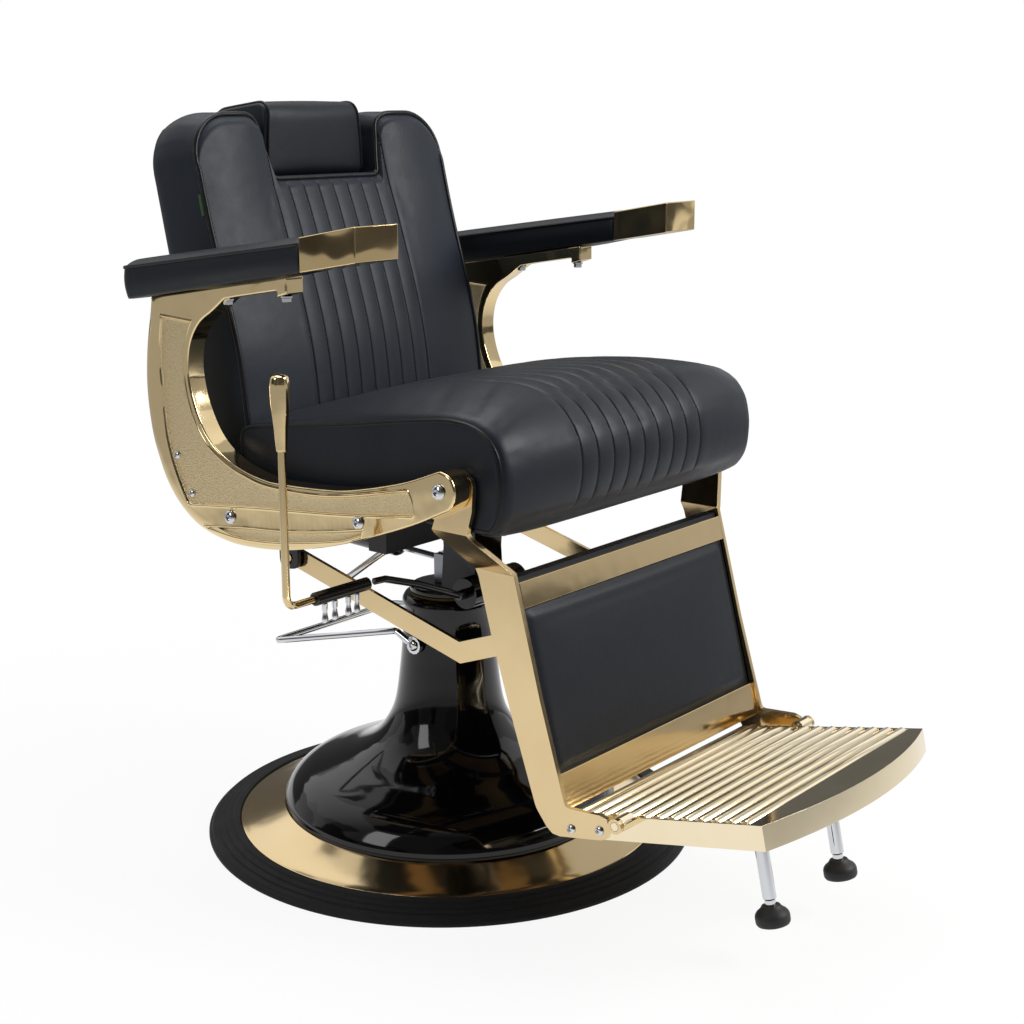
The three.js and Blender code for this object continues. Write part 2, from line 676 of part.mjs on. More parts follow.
function leverGrip() {
  const [low, high] = [GRIP_LOW_RADIUS, GRIP_TOP_RADIUS];
  const profile = [
    [0, gripLow], [low - 0.8, gripLow], [low, gripLow + 2], [low + 2.4, gripLow + 30], [high - 0.8, gripLow + 58],
    [high, GRIP_TOP - 12], [high - 1, GRIP_TOP - 6], [high - 4, GRIP_TOP - 1.6], [0, GRIP_TOP],
  ];
  const grip = turned(profile, 18, shift(-leverX, PUMP_Y, 0));
  const socket = rod([-leverX, PUMP_Y, gripLow - 1], [-leverX, PUMP_Y, gripLow + 8], LEVER_ROD_RADIUS + GAP);
  return cut(grip, socket);
}

addPiece('lever_crank', leverCrank(), 'enamel');
addPiece('lever_sleeve', leverSleeve(), 'enamel');
addPiece('lever_rod', leverRod(), 'gold');
addPiece('lever_grip', leverGrip(), 'gold');
SET_SCREW_PLACES.forEach((place, i) => addPiece(`lever_set_screw_${i + 1}`, setScrew(place), 'chrome'));

// ---------------------------------------------------------------- arm castings
const padLow = (y) => slopeAt(y, PAD_BACK, PAD_BACK_LOW, PAD_FRONT, PAD_FRONT_LOW);
const armTop = (y) => padLow(y) - GAP;

// Rear sweep from the armrest down and forward to the nose, the nose, and the open C back up to the armrest.
const armRear = [228, armTop(228)];
const armHead = [92, armTop(92)];
const armOutline = [
  ...smoothRun([armRear, [243, 665], [249, 605], [243, 550], [231, 514], [215, 483], [190, 456], [154, 435.5],
    [104, 426.5], [46, 428], [-12, 436], [-92, 456], [-194, 492], [-258, 521]], 20),
  ...smoothRun([[-258, 521], [-265, 532], [-266, 545], [-259, 558], [-244, 563]], 5),
  ...smoothRun([[-244, 563], [-187, 542], [-110, 523], [-61, 517], [-4, 514], [30, 514], [71, 521], [106, 534],
    [131, 553], [148, 578], [160, 610], [163, 640], [156, 669], [139, 692], [113, 710], [92, 720]], 21),
  [92, 720], armHead,
];

// Stippled panels: an L up the rear and forward along the casting, and a leaf under the polished bar.
const upperPanel = [
  ...smoothRun([[213, 698], [219, 650], [217, 603], [213, 553], [204, 519], [191, 490], [176, 463]], 7),
  ...smoothRun([[176, 463], [42, 476], [-93, 489], [-209, 505]], 3),
  ...smoothRun([[-209, 505], [-206, 524], [-200, 538]], 2),
  ...smoothRun([[-200, 538], [-77, 513.5], [20, 509.5], [68, 517], [103, 529], [135, 549], [156, 580], [166, 611],
    [168, 643], [161, 674], [147, 697]], 12),
  [147, 697],
];
const lowerPanel = [
  ...smoothRun([[147, 443], [72, 453], [8, 459], [-59, 469], [-127, 482]], 5),
  ...smoothRun([[-127, 482], [-132, 477], [-127, 469]], 2),
  ...smoothRun([[-127, 469], [-85, 456], [9, 439], [80, 432.5], [142, 437]], 5),
  [142, 437],
];

function armBracket(side) {
  const low = (y) => armTop(y) - ARM_BRACKET_HEIGHT;
  const [front, step] = [ARM_BRACKET_FRONT, ARM_BRACKET_FRONT + 16];
  return sidePlate([
    [110, armTop(110)], [110, low(110)], [step, low(step)], [step, low(step) - 7], [front, low(front) - 5],
    [front, armTop(front)],
  ], ...across(side, armInner, armOuter));
}

function armCasting(side) {
  const body = join(sidePlate(armOutline, ...across(side, armInner, armOuter), ARM_EDGE), armBracket(side));
  const outerFace = across(side, armOuter - ARM_PANEL_DEPTH, armOuter + 1);
  const innerFace = across(side, armInner - 1, armInner + ARM_PANEL_DEPTH);
  const through = across(side, armInner - 1, armOuter + 1);
  return cut(
    body,
    sidePlate(upperPanel, ...outerFace),
    sidePlate(lowerPanel, ...outerFace),
    sidePlate(upperPanel, ...innerFace),
    crossRod(RECLINE_PIVOT, ...through, RECLINE_PIN_RADIUS + GAP),
    crossRod(ARM_BOLT, ...through, ARM_BOLT_RADIUS + GAP),
    crossRod(LEG_PIVOT, ...through, LEG_BOLT_RADIUS + GAP),
  );
}

addPair('arm_casting', armCasting, 'gold');

// Dome-headed bolt along X through the casting at [y, z], from its outer face in to innerEnd.
function armBolt([y, z], radius, headRadius, innerEnd) {
  const seat = armOuter + GAP;
  const profile = [
    [0, innerEnd], [radius, innerEnd], [radius, seat], [headRadius, seat],
    [headRadius * 0.93, seat + 3], [headRadius * 0.5, seat + 5], [0, seat + 5.4],
  ];
  return (side) => {
    const alongX = new THREE.Matrix4().makeRotationY((side * Math.PI) / 2);
    return turned(profile, 12, shift(0, y, z).multiply(alongX));
  };
}

addPair('arm_bolt', armBolt(ARM_BOLT, ARM_BOLT_RADIUS, 8, railInner), 'chrome');
addPair('leg_pivot_bolt', armBolt(LEG_PIVOT, LEG_BOLT_RADIUS, 9, SEAT_HALF + 1), 'chrome');
addPair('recline_pin', armBolt(RECLINE_PIVOT, RECLINE_PIN_RADIUS, 9.5, crankInner), 'chrome');

// ---------------------------------------------------------------- armrests
// Section of the soft pad: [share of the half width, share of the height, tuck, crown].
const padSection = [
  [-1, 0, 5, 0], [-1, 0.12, 1, 0], [-1, 0.5, -1, 0], [-1, 0.86, 0, 0], [-1, 1, 4, 0], [-0.55, 1, 0, 3],
  [0, 1, 0, PAD_CROWN], [0.55, 1, 0, 3], [1, 1, 4, 0], [1, 0.86, 0, 0], [1, 0.5, -1, 0],
  [1, 0.12, 1, 0], [1, 0, 5, 0],
];

// Soft pad: a crowned bar with a drawn-in waist, rounded at both ends.
function armPad(side) {
  const shares = [0, 0.012, 0.04, 0.1, 0.3, 0.5, 0.7, 0.9, 0.975, 0.995, 1];
  const tucks = [10, 4, 1.5, 0, 0, 0, 0, 0, 0.8, 2.5, 5];
  const half = PAD_WIDTH / 2;
  const positions = [];
  shares.forEach((share, i) => {
    const y = THREE.MathUtils.lerp(PAD_BACK, PAD_FRONT + GAP, share);
    const low = padLow(y);
    const high = slopeAt(y, PAD_BACK, PAD_BACK_TOP, PAD_FRONT, PAD_FRONT_TOP) - PAD_CROWN;
    padSection.forEach(([width, up, tuck, crown]) => {
      const x = width * (half - tucks[i] * 0.6) - Math.sign(width) * Math.max(tuck, 0);
      const pull = up > 0.5 ? -tucks[i] : (1 - up) * tucks[i] * 0.4;
      positions.push(side * padMiddle + x, y, THREE.MathUtils.lerp(low, high, up) + crown + pull);
    });
  });
  return ringSolid(positions, shares.length, padSection.length);
}

// Metal hand cap: a box shell that closes the pad's front end.
function armCap(side) {
  const high = (y) => slopeAt(y, PAD_FRONT, PAD_FRONT_TOP, CAP_FRONT, CAP_FRONT_TOP);
  const low = (y) => slopeAt(y, PAD_FRONT, PAD_FRONT_LOW, CAP_FRONT, CAP_FRONT_LOW);
  const shell = (inset, back) => {
    const front = CAP_FRONT + inset;
    const half = PAD_WIDTH / 2 - inset;
    return sidePlate([
      [back, low(back) + inset], [back, high(back) - inset],
      [front, high(front) - inset], [front, low(front) + inset],
    ], side * padMiddle - half, side * padMiddle + half);
  };
  const back = PAD_FRONT - GAP;
  return cut(shell(0, back), shell(CAP_WALL, back + 1));
}

addPair('arm_pad', armPad, 'leatherette');
addPair('arm_cap', armCap, 'gold');

// ---------------------------------------------------------------- seat frame and cushion
const tubeBottom = POST_TOP + GAP + MOUNT_PLATE_THICK;
const tubeTop = tubeBottom + CROSS_TUBE_HEIGHT;
const boardBottom = tubeTop + GAP;

// Steel frame: mounting plate, two cross tubes on two spines, side rails for the castings and the
// release lug.
function seatFrame() {
  const plate = box(
    [-MOUNT_PLATE_HALF, POST_FRONT - 40, POST_TOP + GAP], [MOUNT_PLATE_HALF, POST_BACK + 40, tubeBottom + 1]);
  const halfTube = CROSS_TUBE_WIDTH / 2;
  const tubes = [FRONT_TUBE_Y, REAR_TUBE_Y].map((y) => box(
    [-railInner - 1, y - halfTube, tubeBottom], [railInner + 1, y + halfTube, tubeTop]));
  const spines = [-1, 1].map((side) => {
    const [x0, x1] = across(side, MOUNT_PLATE_HALF - SPINE_WIDTH, MOUNT_PLATE_HALF);
    return box([x0, FRONT_TUBE_Y, tubeBottom], [x1, REAR_TUBE_Y, tubeTop]);
  });
  const railShape = roundedOutline([
    [-160, 496, 6], [-156, 511, 6], [-90, 504, 10], [90, 494, 12], [119, 474, 12], [115, 446, 12], [-50, 447, 8],
    [-145, 474, 10],
  ], 2);
  const rails = [-1, 1].map((side) => sidePlate(railShape, ...across(side, railInner, railOuter)));
  const lugX = RELEASE_X - 12;
  const [ry, rz] = RELEASE_PIVOT;
  const lugShape = roundedOutline([
    [ry - 12, rz - 7, 6], [ry + 12, rz - 9, 6], [ry + 12, rz + 14, 4], [ry - 19, rz + 18], [ry - 19, rz - 2],
  ], 2);
  const lug = sidePlate(lugShape, -lugX, -lugX + 5);
  const releasePin = crossRod(RELEASE_PIVOT, -RELEASE_X - 5, -lugX + 2, RELEASE_PIN_RADIUS, 10);
  const bore = (yz, radius, side) => crossRod(
    yz, ...across(side, railInner - 1, railOuter + 1), radius + GAP);
  const bores = [-1, 1].flatMap((side) => [
    bore(RECLINE_PIVOT, RECLINE_PIN_RADIUS, side), bore(ARM_BOLT, ARM_BOLT_RADIUS, side),
  ]);
  return cut(join(plate, ...tubes, ...spines, ...rails, lug, releasePin), ...bores);
}

function seatBoard() {
  return box([-BOARD_HALF, BOARD_FRONT, boardBottom], [BOARD_HALF, BOARD_BACK, boardBottom + BOARD_THICK]);
}

// Side profile of the seat cushion at its welt, [y, z].
const seatProfile = roundedOutline([
  [116, SEAT_BOTTOM, 14], [122, 563, 22], [-30, 588, 90], [-244, 621, 60], [-301, 606, 26], [-304, 540, 40],
  [-290, SEAT_BOTTOM, 22], [BOARD_FRONT - 5, SEAT_BOTTOM],
]);

// Places across a channelled cushion: a groove between two shoulders at each seam, then the flanks.
function channelStations(channels, pitch, half) {
  const shoulder = 4;
  const edge = (channels / 2) * pitch;
  const stations = [];
  for (let i = 0; i <= channels; i += 1) {
    const x = i * pitch - edge;
    stations.push({ x: x - shoulder, groove: 0 }, { x, groove: 1 }, { x: x + shoulder, groove: 0 });
  }
  for (const share of [0.12, 0.5, 0.85, 0.98, 1]) {
    const x = edge + (half - edge) * share;
    stations.push({ x, groove: 0 });
    stations.unshift({ x: -x, groove: 0 });
  }
  return stations;
}

// Crowned cushion whose ends draw in and whose sewn channels run over the top and down the front.
function seatCushion() {
  const stations = channelStations(SEAT_CHANNELS, SEAT_CHANNEL_PITCH, SEAT_HALF);
  const middle = [-90, 540];
  const positions = [];
  stations.forEach(({ x, groove }) => {
    const share = Math.abs(x) / SEAT_HALF;
    const swell = 1 - share ** 4;
    const drawn = Math.max(share - 0.97, 0) * 230;
    seatProfile.forEach(([y, z]) => {
      const outward = new THREE.Vector2(y - middle[0], (z - middle[1]) * 2.2).normalize();
      const sewn = z > SEAT_BOTTOM + 25 && y < 100 ? 1 : 0;
      const sunk = sewn * groove * SEAT_GROOVE + drawn;
      const crown = sewn * swell * SEAT_CROWN;
      const lip = z < SEAT_BOTTOM + 5 && y < BOARD_FRONT - 10 ? SEAT_LIP_DROP * swell : 0;
      const lifted = Math.max(z + outward.y * (crown - sunk), SEAT_BOTTOM) - lip;
      positions.push(x, y + outward.x * (0.2 * crown - sunk), lifted);
    });
  });
  return ringSolid(positions, stations.length, seatProfile.length);
}

addPiece('seat_frame', seatFrame(), 'steel');
addPiece('seat_board', seatBoard(), 'board');
addPiece('seat_cushion', seatCushion(), 'leatherette');

// ---------------------------------------------------------------- back
const lean = THREE.MathUtils.degToRad(BACK_LEAN);
const backPlace = shift(0, BACK_BASE_Y, BACK_BASE_Z).multiply(new THREE.Matrix4().makeRotationX(-lean));
// [y, z] of a point that lies "up" the back and "behind" its front face.
const onBack = (up, behind) => {
  const point = new THREE.Vector3(0, behind, up).applyMatrix4(backPlace);
  return [point.y, point.z];
};
const placeBack = (manifold) => solid(toGeometry(manifold).applyMatrix4(backPlace));

// The slab's section, [behind, up], with its lumbar swell, from the lower front edge round to the underside.
const backProfile = roundedOutline([
  [0, 0, 12], [-4, 60], [-14, 110], [-16, 140], [-10, 200], [-4, 245], [-1, 290], [0, 340],
  [0, BACK_HEIGHT - 4, 10], [36, BACK_HEIGHT + BACK_TOP_CROWN, 30], [BACK_THICK, BACK_HEIGHT - 14, 30],
  [BACK_THICK + 4, BACK_HEIGHT * 0.6, 60], [BACK_THICK - 14, 26, 20], [60, 8, 10],
], 2);

// Crowned slab with sewn channels, whose stitched middle sinks between the bolsters towards the notch.
function backSlab() {
  const stations = channelStations(SEAT_CHANNELS, BACK_CHANNEL_PITCH, BACK_HALF);
  const sewnHalf = (SEAT_CHANNELS / 2) * BACK_CHANNEL_PITCH + 5;
  const positions = [];
  stations.forEach(({ x, groove }) => {
    const share = Math.abs(x) / BACK_HALF;
    const crown = BACK_CROWN * (1 - share ** 4);
    const drawn = Math.max(share - 0.96, 0) * 200;
    backProfile.forEach(([behind, up]) => {
      const front = behind < 3 ? 1 : 0;
      const rise = Math.max(up - BACK_HOLLOW_FROM, 0) / (NOTCH_FLOOR - BACK_HOLLOW_FROM);
      const sunk = Math.abs(x) < sewnHalf ? BACK_HOLLOW * Math.min(rise, 1.1) ** 1.5 : 0;
      const rear = behind > BACK_THICK * 0.6 ? drawn : 0;
      positions.push(x, behind - front * (crown - groove * BACK_GROOVE - drawn - sunk) - rear, up);
    });
  });
  return ringSolid(positions, stations.length, backProfile.length);
}

// Front outline with two shoulders and the headrest's notch, as a prism through the slab.
function backOutline() {
  const [half, top] = [BACK_HALF, BACK_HEIGHT + BACK_TOP_CROWN];
  const path = new THREE.Path();
  path.moveTo(0, 0);
  path.lineTo(half - 14, 0);
  path.quadraticCurveTo(half, 0, half, 14);
  path.lineTo(half, top - BACK_SHOULDER);
  path.bezierCurveTo(half, top - 24, half - 20, top, half - BACK_SHOULDER, top);
  path.lineTo(NOTCH_MOUTH_HALF + 30, top);
  path.quadraticCurveTo(NOTCH_MOUTH_HALF, top, NOTCH_MOUTH_HALF, top - 30);
  path.lineTo(NOTCH_HALF, NOTCH_FLOOR + NOTCH_CORNER);
  path.quadraticCurveTo(NOTCH_HALF, NOTCH_FLOOR, NOTCH_HALF - NOTCH_CORNER, NOTCH_FLOOR);
  const right = path.getPoints(4).slice(1).map(toPair);
  const left = right.map(([x, z]) => [-x, z]).reverse();
  return frontPlate([...right, ...left], -30, BACK_THICK + 30);
}

const stemMiddle = BACK_THICK * 0.55;
const headrestBase = NOTCH_FLOOR + HEADREST_GAP;
const stemFoot = NOTCH_FLOOR - STEM_LENGTH + 20;
const stemRod = (side, low, high, radius) => rod(
  [(side * STEM_SPREAD) / 2, stemMiddle, low], [(side * STEM_SPREAD) / 2, stemMiddle, high], radius);

function backCushion() {
  const bores = [-1, 1].map((side) => stemRod(side, stemFoot - 8, BACK_HEIGHT, STEM_RADIUS + RUN));
  return placeBack(cut(backSlab().intersect(backOutline()), ...bores));
}

function headrestCushion() {
  const positions = [];
  const stations = [-1, -0.97, -0.88, -0.5, 0, 0.5, 0.88, 0.97, 1];
  const section = roundedOutline([[26, 0, 12], [7, 90, 20], [121, 100, 24], [113, 2, 14]], 4);
  const centre = [66, HEADREST_HEIGHT / 2];
  stations.forEach((share) => {
    const keep = 1 - Math.max(Math.abs(share) - 0.9, 0) * 1.2;
    section.forEach(([behind, up]) => {
      const half = HEADREST_HALF - HEADREST_TAPER * (up / HEADREST_HEIGHT) ** 2;
      const height = centre[1] + (up - centre[1]) * keep;
      positions.push(share * half, centre[0] + (behind - centre[0]) * keep, headrestBase + height);
    });
  });
  const block = ringSolid(positions, stations.length, section.length);
  const sockets = [-1, 1].map((side) => stemRod(
    side, headrestBase - 5, headrestBase + STEM_SOCKET, STEM_RADIUS + GAP));
  return placeBack(cut(block, ...sockets));
}

const headrestStem = (side) => placeBack(stemRod(side, stemFoot, headrestBase + STEM_SOCKET - 1, STEM_RADIUS));

// Steel frame: an arm, tube and crank on each recline pin, a cross beam, two straps up the back, and the gas
// spring's two cheeks.
function backFrame() {
  const [py, pz] = RECLINE_PIVOT;
  const [cy, cz] = CRANK_PIN;
  const [by, bz] = BACK_BEAM;
  const [gy, gz] = GAS_REAR;
  const half = BACK_BEAM_HALF;
  const arm = roundedOutline([
    [py - 14, pz - 13, 12], [py - 12, pz + 15, 12], [by - 18, bz + 17, 10], [by + 14, bz + 17, 10],
    [by + 14, bz - 17, 10], [py + 22, pz - 15, 14],
  ], 2);
  const crank = roundedOutline([
    [py - 17, pz + 14, 12], [py + 17, pz + 14, 12], [cy + 16, cz - 14, 12], [cy - 16, cz - 14, 12],
  ]);
  const strapPlaces = [[-6, 96], [30, 103], [150, 106], [150, 110], [28, 108], [-14, 106]];
  const strap = strapPlaces.map((place) => onBack(...place));
  const cheek = roundedOutline([
    [by - 12, bz - 5], [by + 12, bz - 5], [gy + 12, gz - 10, 10], [gy - 12, gz - 10, 10],
  ], 2);
  const cheekX = GAS_BODY_RADIUS + 1;
  const pieces = [-1, 1].flatMap((side) => [
    sidePlate(arm, ...across(side, hingePlateInner, hingePlateOuter)),
    crossRod(RECLINE_PIVOT, ...across(side, crankInner, hingePlateInner + 1), TORQUE_TUBE_RADIUS),
    sidePlate(crank, ...across(side, crankInner, crankOuter)),
    sidePlate(strap, ...across(side, STRAP_INNER, STRAP_OUTER)),
    sidePlate(cheek, ...across(side, cheekX, cheekX + GAS_CHEEK_THICK)),
  ]);
  const beam = box([-hingePlateInner - 1, by - half, bz - half], [hingePlateInner + 1, by + half, bz + half]);
  const gasPin = crossRod(GAS_REAR, -cheekX - 1, cheekX + 1, GAS_PIN_RADIUS + 1, 10);
  const holes = [-1, 1].flatMap((side) => [
    crossRod(RECLINE_PIVOT, ...across(side, crankInner - 5, hingePlateOuter + 5), RECLINE_PIN_RADIUS + RUN),
    crossRod(CRANK_PIN, ...across(side, crankInner - 5, crankOuter + 5), LINK_PIN_RADIUS + OPEN_PIVOT_PLAY),
  ]);
  return cut(join(beam, ...pieces, gasPin), ...holes);
}

addPiece('back_frame', backFrame(), 'steel');
addPiece('back_cushion', backCushion(), 'leatherette');
addPiece('headrest_cushion', headrestCushion(), 'leatherette');
addPair('headrest_stem', headrestStem, 'chrome');

// ---------------------------------------------------------------- gas spring
const gasLength = toPoint(GAS_REAR).distanceTo(toPoint(GAS_FRONT));
function alongGas(distance) {
  const from = toPoint(GAS_FRONT);
  return [0, ...toPair(from.lerp(toPoint(GAS_REAR), distance / gasLength))];
}

function gasCylinder() {
  const r = GAS_BODY_RADIUS;
  const body = join(
    rod(alongGas(GAS_BODY_FRONT), alongGas(GAS_BODY_FRONT + 6), r - 3, r, 16),
    rod(alongGas(GAS_BODY_FRONT + 5.9), alongGas(gasLength - 20), r, r, 16),
    rod(alongGas(gasLength - 21), alongGas(gasLength - 4), 6, 6, 10),
    crossRod(GAS_REAR, -7, 7, GAS_EYE_RADIUS),
  );
  const bore = rod(alongGas(GAS_BODY_FRONT - 1), alongGas(gasLength - 40), GAS_ROD_RADIUS + RUN);
  return cut(body, bore, crossRod(GAS_REAR, -8, 8, GAS_PIN_RADIUS + 1 + RUN, 10));
}

function gasRod() {
  const shaft = rod(alongGas(GAS_EYE_RADIUS - 3), alongGas(GAS_BODY_FRONT + 40), GAS_ROD_RADIUS);
  const eye = crossRod(GAS_FRONT, -4, 4, GAS_EYE_RADIUS);
  return cut(join(shaft, eye), crossRod(GAS_FRONT, -5, 5, GAS_PIN_RADIUS + GAS_EYE_PLAY, 10));
}

addPiece('gas_cylinder', gasCylinder(), 'enamel');
addPiece('gas_rod', gasRod(), 'enamel');

// ---------------------------------------------------------------- recline links and release lever
// Flat bar with a bend and two round ends, and the rear pin that runs in the crank's wide eye.
function reclineLink(side) {
  const half = LINK_WIDTH / 2;
  const [front, knee, rear] = [LINK_FRONT_PIN, LINK_KNEE, CRANK_PIN].map(toPoint);
  const square = (a, b) => {
    const along = b.clone().sub(a).setLength(half);
    return new THREE.Vector2(-along.y, along.x);
  };
  const [n1, n2] = [square(front, knee), square(knee, rear)];
  const bevel = n1.clone().add(n2);
  bevel.setLength(half / Math.cos(n1.angleTo(n2) / 2));
  const upper = [front.clone().add(n1), knee.clone().add(bevel), rear.clone().add(n2)];
  const lower = [rear.clone().sub(n2), knee.clone().sub(bevel), front.clone().sub(n1)];
  const x = across(side, linkInner, linkOuter);
  return cut(
    join(
      sidePlate([...upper, ...lower].map(toPair), ...x),
      crossRod(LINK_FRONT_PIN, ...x, half, 16),
      crossRod(CRANK_PIN, ...x, half, 16),
      crossRod(CRANK_PIN, ...across(side, linkX, crankOuter), LINK_PIN_RADIUS, 10),
    ),
    crossRod(LINK_FRONT_PIN, ...across(side, linkInner - 5, linkOuter + 5), LINK_PIN_RADIUS + RUN, 10),
  );
}

function releaseLever() {
  const eye = crossRod(RELEASE_PIVOT, -RELEASE_X - 4.5, -RELEASE_X + 4.5, 2 * RELEASE_RADIUS);
  const bar = rod([-RELEASE_X, ...RELEASE_PIVOT], [-RELEASE_X, ...RELEASE_END], RELEASE_RADIUS);
  const bore = crossRod(RELEASE_PIVOT, -RELEASE_X - 6, -RELEASE_X + 6, RELEASE_PIN_RADIUS + RUN, 10);
  return cut(join(eye, bar), bore);
}

addPair('recline_link', reclineLink, 'gold');
addPiece('release_lever', releaseLever(), 'chrome');

// ---------------------------------------------------------------- leg rest
// Side view of a calf plate, [y, z]: upper strap, lower plate and toe.
const legSilhouette = roundedOutline([
  [-222, 554, 10], [-211, 498, 15], [-205, 482, 8], [-233, 427, 20], [-252, 360], [-286, 257], [-317, 170, 30],
  [-340, 142, 20], [-420, 158, 13], [-420, 186, 12], [-359, 181, 6], [-322, 300], [-297, 392], [-284, 438, 20],
  [-257, 484, 12], [-266, 516, 20], [-268, 554, 10],
], 2);

// Plate folded twice so that it steps in from the hinge eye to the calf panel.
function calfPlate(side) {
  const half = LEG_PLATE_THICK / 2;
  const fold = 2.5;
  const section = [
    [legUpperX - half, 600], [legUpperX - half, JOGGLE_HIGH + fold], [legPlateInner, JOGGLE_LOW + fold],
    [legPlateInner, 100], [legPlateOuter, 100], [legPlateOuter, JOGGLE_LOW], [legUpperX + half, JOGGLE_HIGH],
    [legUpperX + half, 600],
  ].map(([x, z]) => [side * x, z]);
  const folded = frontPlate(section, -470, -180);
  const strap = folded.intersect(sidePlate(legSilhouette, ...across(side, 0, armOuter)));
  const eye = crossRod(LEG_PIVOT, ...across(side, SEAT_HALF + 1.5, armInner - 0.6), LEG_EYE_RADIUS, 18);
  const spacer = crossRod(LINK_FRONT_PIN, ...across(side, linkOuter + GAP, legPlateX), LINK_SPACER_RADIUS, 12);
  const stud = crossRod(LINK_FRONT_PIN, ...across(side, linkInner - 0.5, legPlateX), LINK_PIN_RADIUS, 10);
  const knuckle = crossRod(FOOT_PIVOT, ...across(side, legPlateInner, legPlateOuter), KNUCKLE_RADIUS);
  const bolt = crossRod(LEG_PIVOT, ...across(side, SEAT_HALF - 5, armInner + 5), LEG_BOLT_RADIUS + RUN);
  const hingeBore = crossRod(
    FOOT_PIVOT, ...across(side, legPlateInner - 5, legPlateOuter + 5), LINK_PIN_RADIUS + RUN, 10);
  return cut(join(strap, eye, spacer, stud, knuckle), bolt, hingeBore);
}

// Front line of the plates, for the bars and pad between them.
const calfFront = (z) => slopeAt(z, 437, -285, 178, -355);
const calfInner = legPlateInner - GAP;

function calfBar([low, high]) {
  const t = CALF_BAR_THICK;
  return sidePlate([
    [calfFront(low), low], [calfFront(high), high], [calfFront(high) + t, high], [calfFront(low) + t, low],
  ], -calfInner, calfInner);
}

// Upholstered panel that swells between the bars and tucks behind them.
function calfPad() {
  const positions = [];
  const half = calfInner - 1;
  const behind = CALF_BAR_THICK + GAP;
  const swell = 3;
  const [low, high] = [BOTTOM_BAR[1] - 26, TOP_BAR[1] + 4];
  const levels = [
    low, BOTTOM_BAR[1] + 0.2, BOTTOM_BAR[1] + 4, 260, 306, 352, TOP_BAR[0] - 4, TOP_BAR[0] - 0.2, high,
  ];
  const shares = [-1, -0.97, -0.7, 0, 0.7, 0.97, 1];
  shares.forEach((share) => {
    const proud = swell + 2.5 * (1 - share ** 4);
    levels.forEach((z) => {
      const open = z > BOTTOM_BAR[1] + GAP && z < TOP_BAR[0] - GAP;
      positions.push(share * half, calfFront(z) + behind - (open ? proud : 0), z);
    });
    positions.push(share * half, calfFront(high) + CALF_PAD_THICK, high - 3);
    positions.push(share * half, calfFront(low) + CALF_PAD_THICK, low + 3);
  });
  return ringSolid(positions, shares.length, levels.length + 2);
}

addPair('calf_plate', calfPlate, 'gold');
addPiece('calf_top_bar', calfBar(TOP_BAR), 'gold');
addPiece('calf_bottom_bar', calfBar(BOTTOM_BAR), 'gold');
addPiece('calf_pad', calfPad(), 'leatherette');

// ---------------------------------------------------------------- footrest
const footTilt = THREE.MathUtils.degToRad(FOOT_SLOPE);
const footPlace = shift(0, ...FOOT_PIVOT).multiply(new THREE.Matrix4().makeRotationX(-footTilt));
const placeFoot = (manifold) => solid(toGeometry(manifold).applyMatrix4(footPlace));
const footLength = (y) => (FOOT_PIVOT[0] - y) / Math.cos(footTilt);
const footFront = footLength(FOOT_CORNER);
const footRear = -footLength(FOOT_BACK);
const treadBase = FOOT_TOP - 6;

// Block with the tray's plan, bowed at its front edge, drawn in by inset.
function trayBlock(inset, low, high) {
  const half = footHalf - inset;
  const front = 0.4 * inset - footFront;
  const sagitta = FOOT_SAGITTA - 0.6 * inset;
  const shape = new THREE.Shape();
  shape.moveTo(half, footRear - inset);
  shape.lineTo(-half, footRear - inset);
  for (let i = 0; i <= 16; i += 1) {
    const share = i / 8 - 1;
    shape.lineTo(half * share, front - sagitta * (1 - share ** 2));
  }
  const geometry = new THREE.ExtrudeGeometry(shape, { depth: high - low, bevelEnabled: false });
  return solid(geometry.translate(0, 0, low));
}

// Cast tray: a deep rim, a flat crescent at the front, and an opening that the ribbed tread fills.
function footFrame() {
  const low = FOOT_TOP - FOOT_SIDE_HEIGHT;
  const rim = trayBlock(0, low, FOOT_TOP);
  const hollow = trayBlock(FOOT_WALL, low - 1, treadBase);
  const half = footHalf - FOOT_WALL;
  const opening = trayBlock(FOOT_WALL, low - 1, FOOT_TOP + 1)
    .intersect(box([-half, FOOT_CRESCENT - footFront, low - 2], [half, footRear + 2, FOOT_TOP + 2]));
  const knuckles = [-1, 1].flatMap((side) => [
    crossRod([0, 0], ...across(side, footHalf - 1, legPlateInner - GAP), KNUCKLE_RADIUS),
    crossRod([0, 0], ...across(side, footHalf - 1, legPlateOuter), LINK_PIN_RADIUS, 10),
  ]);
  return placeFoot(join(cut(rim, hollow, opening), ...knuckles));
}

// Ribbed tread: round ribs across a thin skin, dropped into the frame.
function footTread() {
  const half = footHalf - FOOT_WALL - GAP;
  const back = footRear - FOOT_WALL - GAP;
  const front = FOOT_CRESCENT + GAP - footFront;
  const skin = box([-half, front, treadBase], [half, back, treadBase + FOOT_SKIN]);
  const ribs = [];
  for (let i = 0; i < FOOT_RIBS; i += 1) {
    const axis = [front + FOOT_RIB_RADIUS + 0.4 + i * FOOT_RIB_PITCH, treadBase + 1.6];
    ribs.push(crossRod(axis, -half, half, FOOT_RIB_RADIUS, 8));
  }
  const under = box([-half - 1, front - 20, treadBase - 20], [half + 1, back + 20, treadBase]);
  return placeFoot(cut(join(skin, ...ribs), under));
}

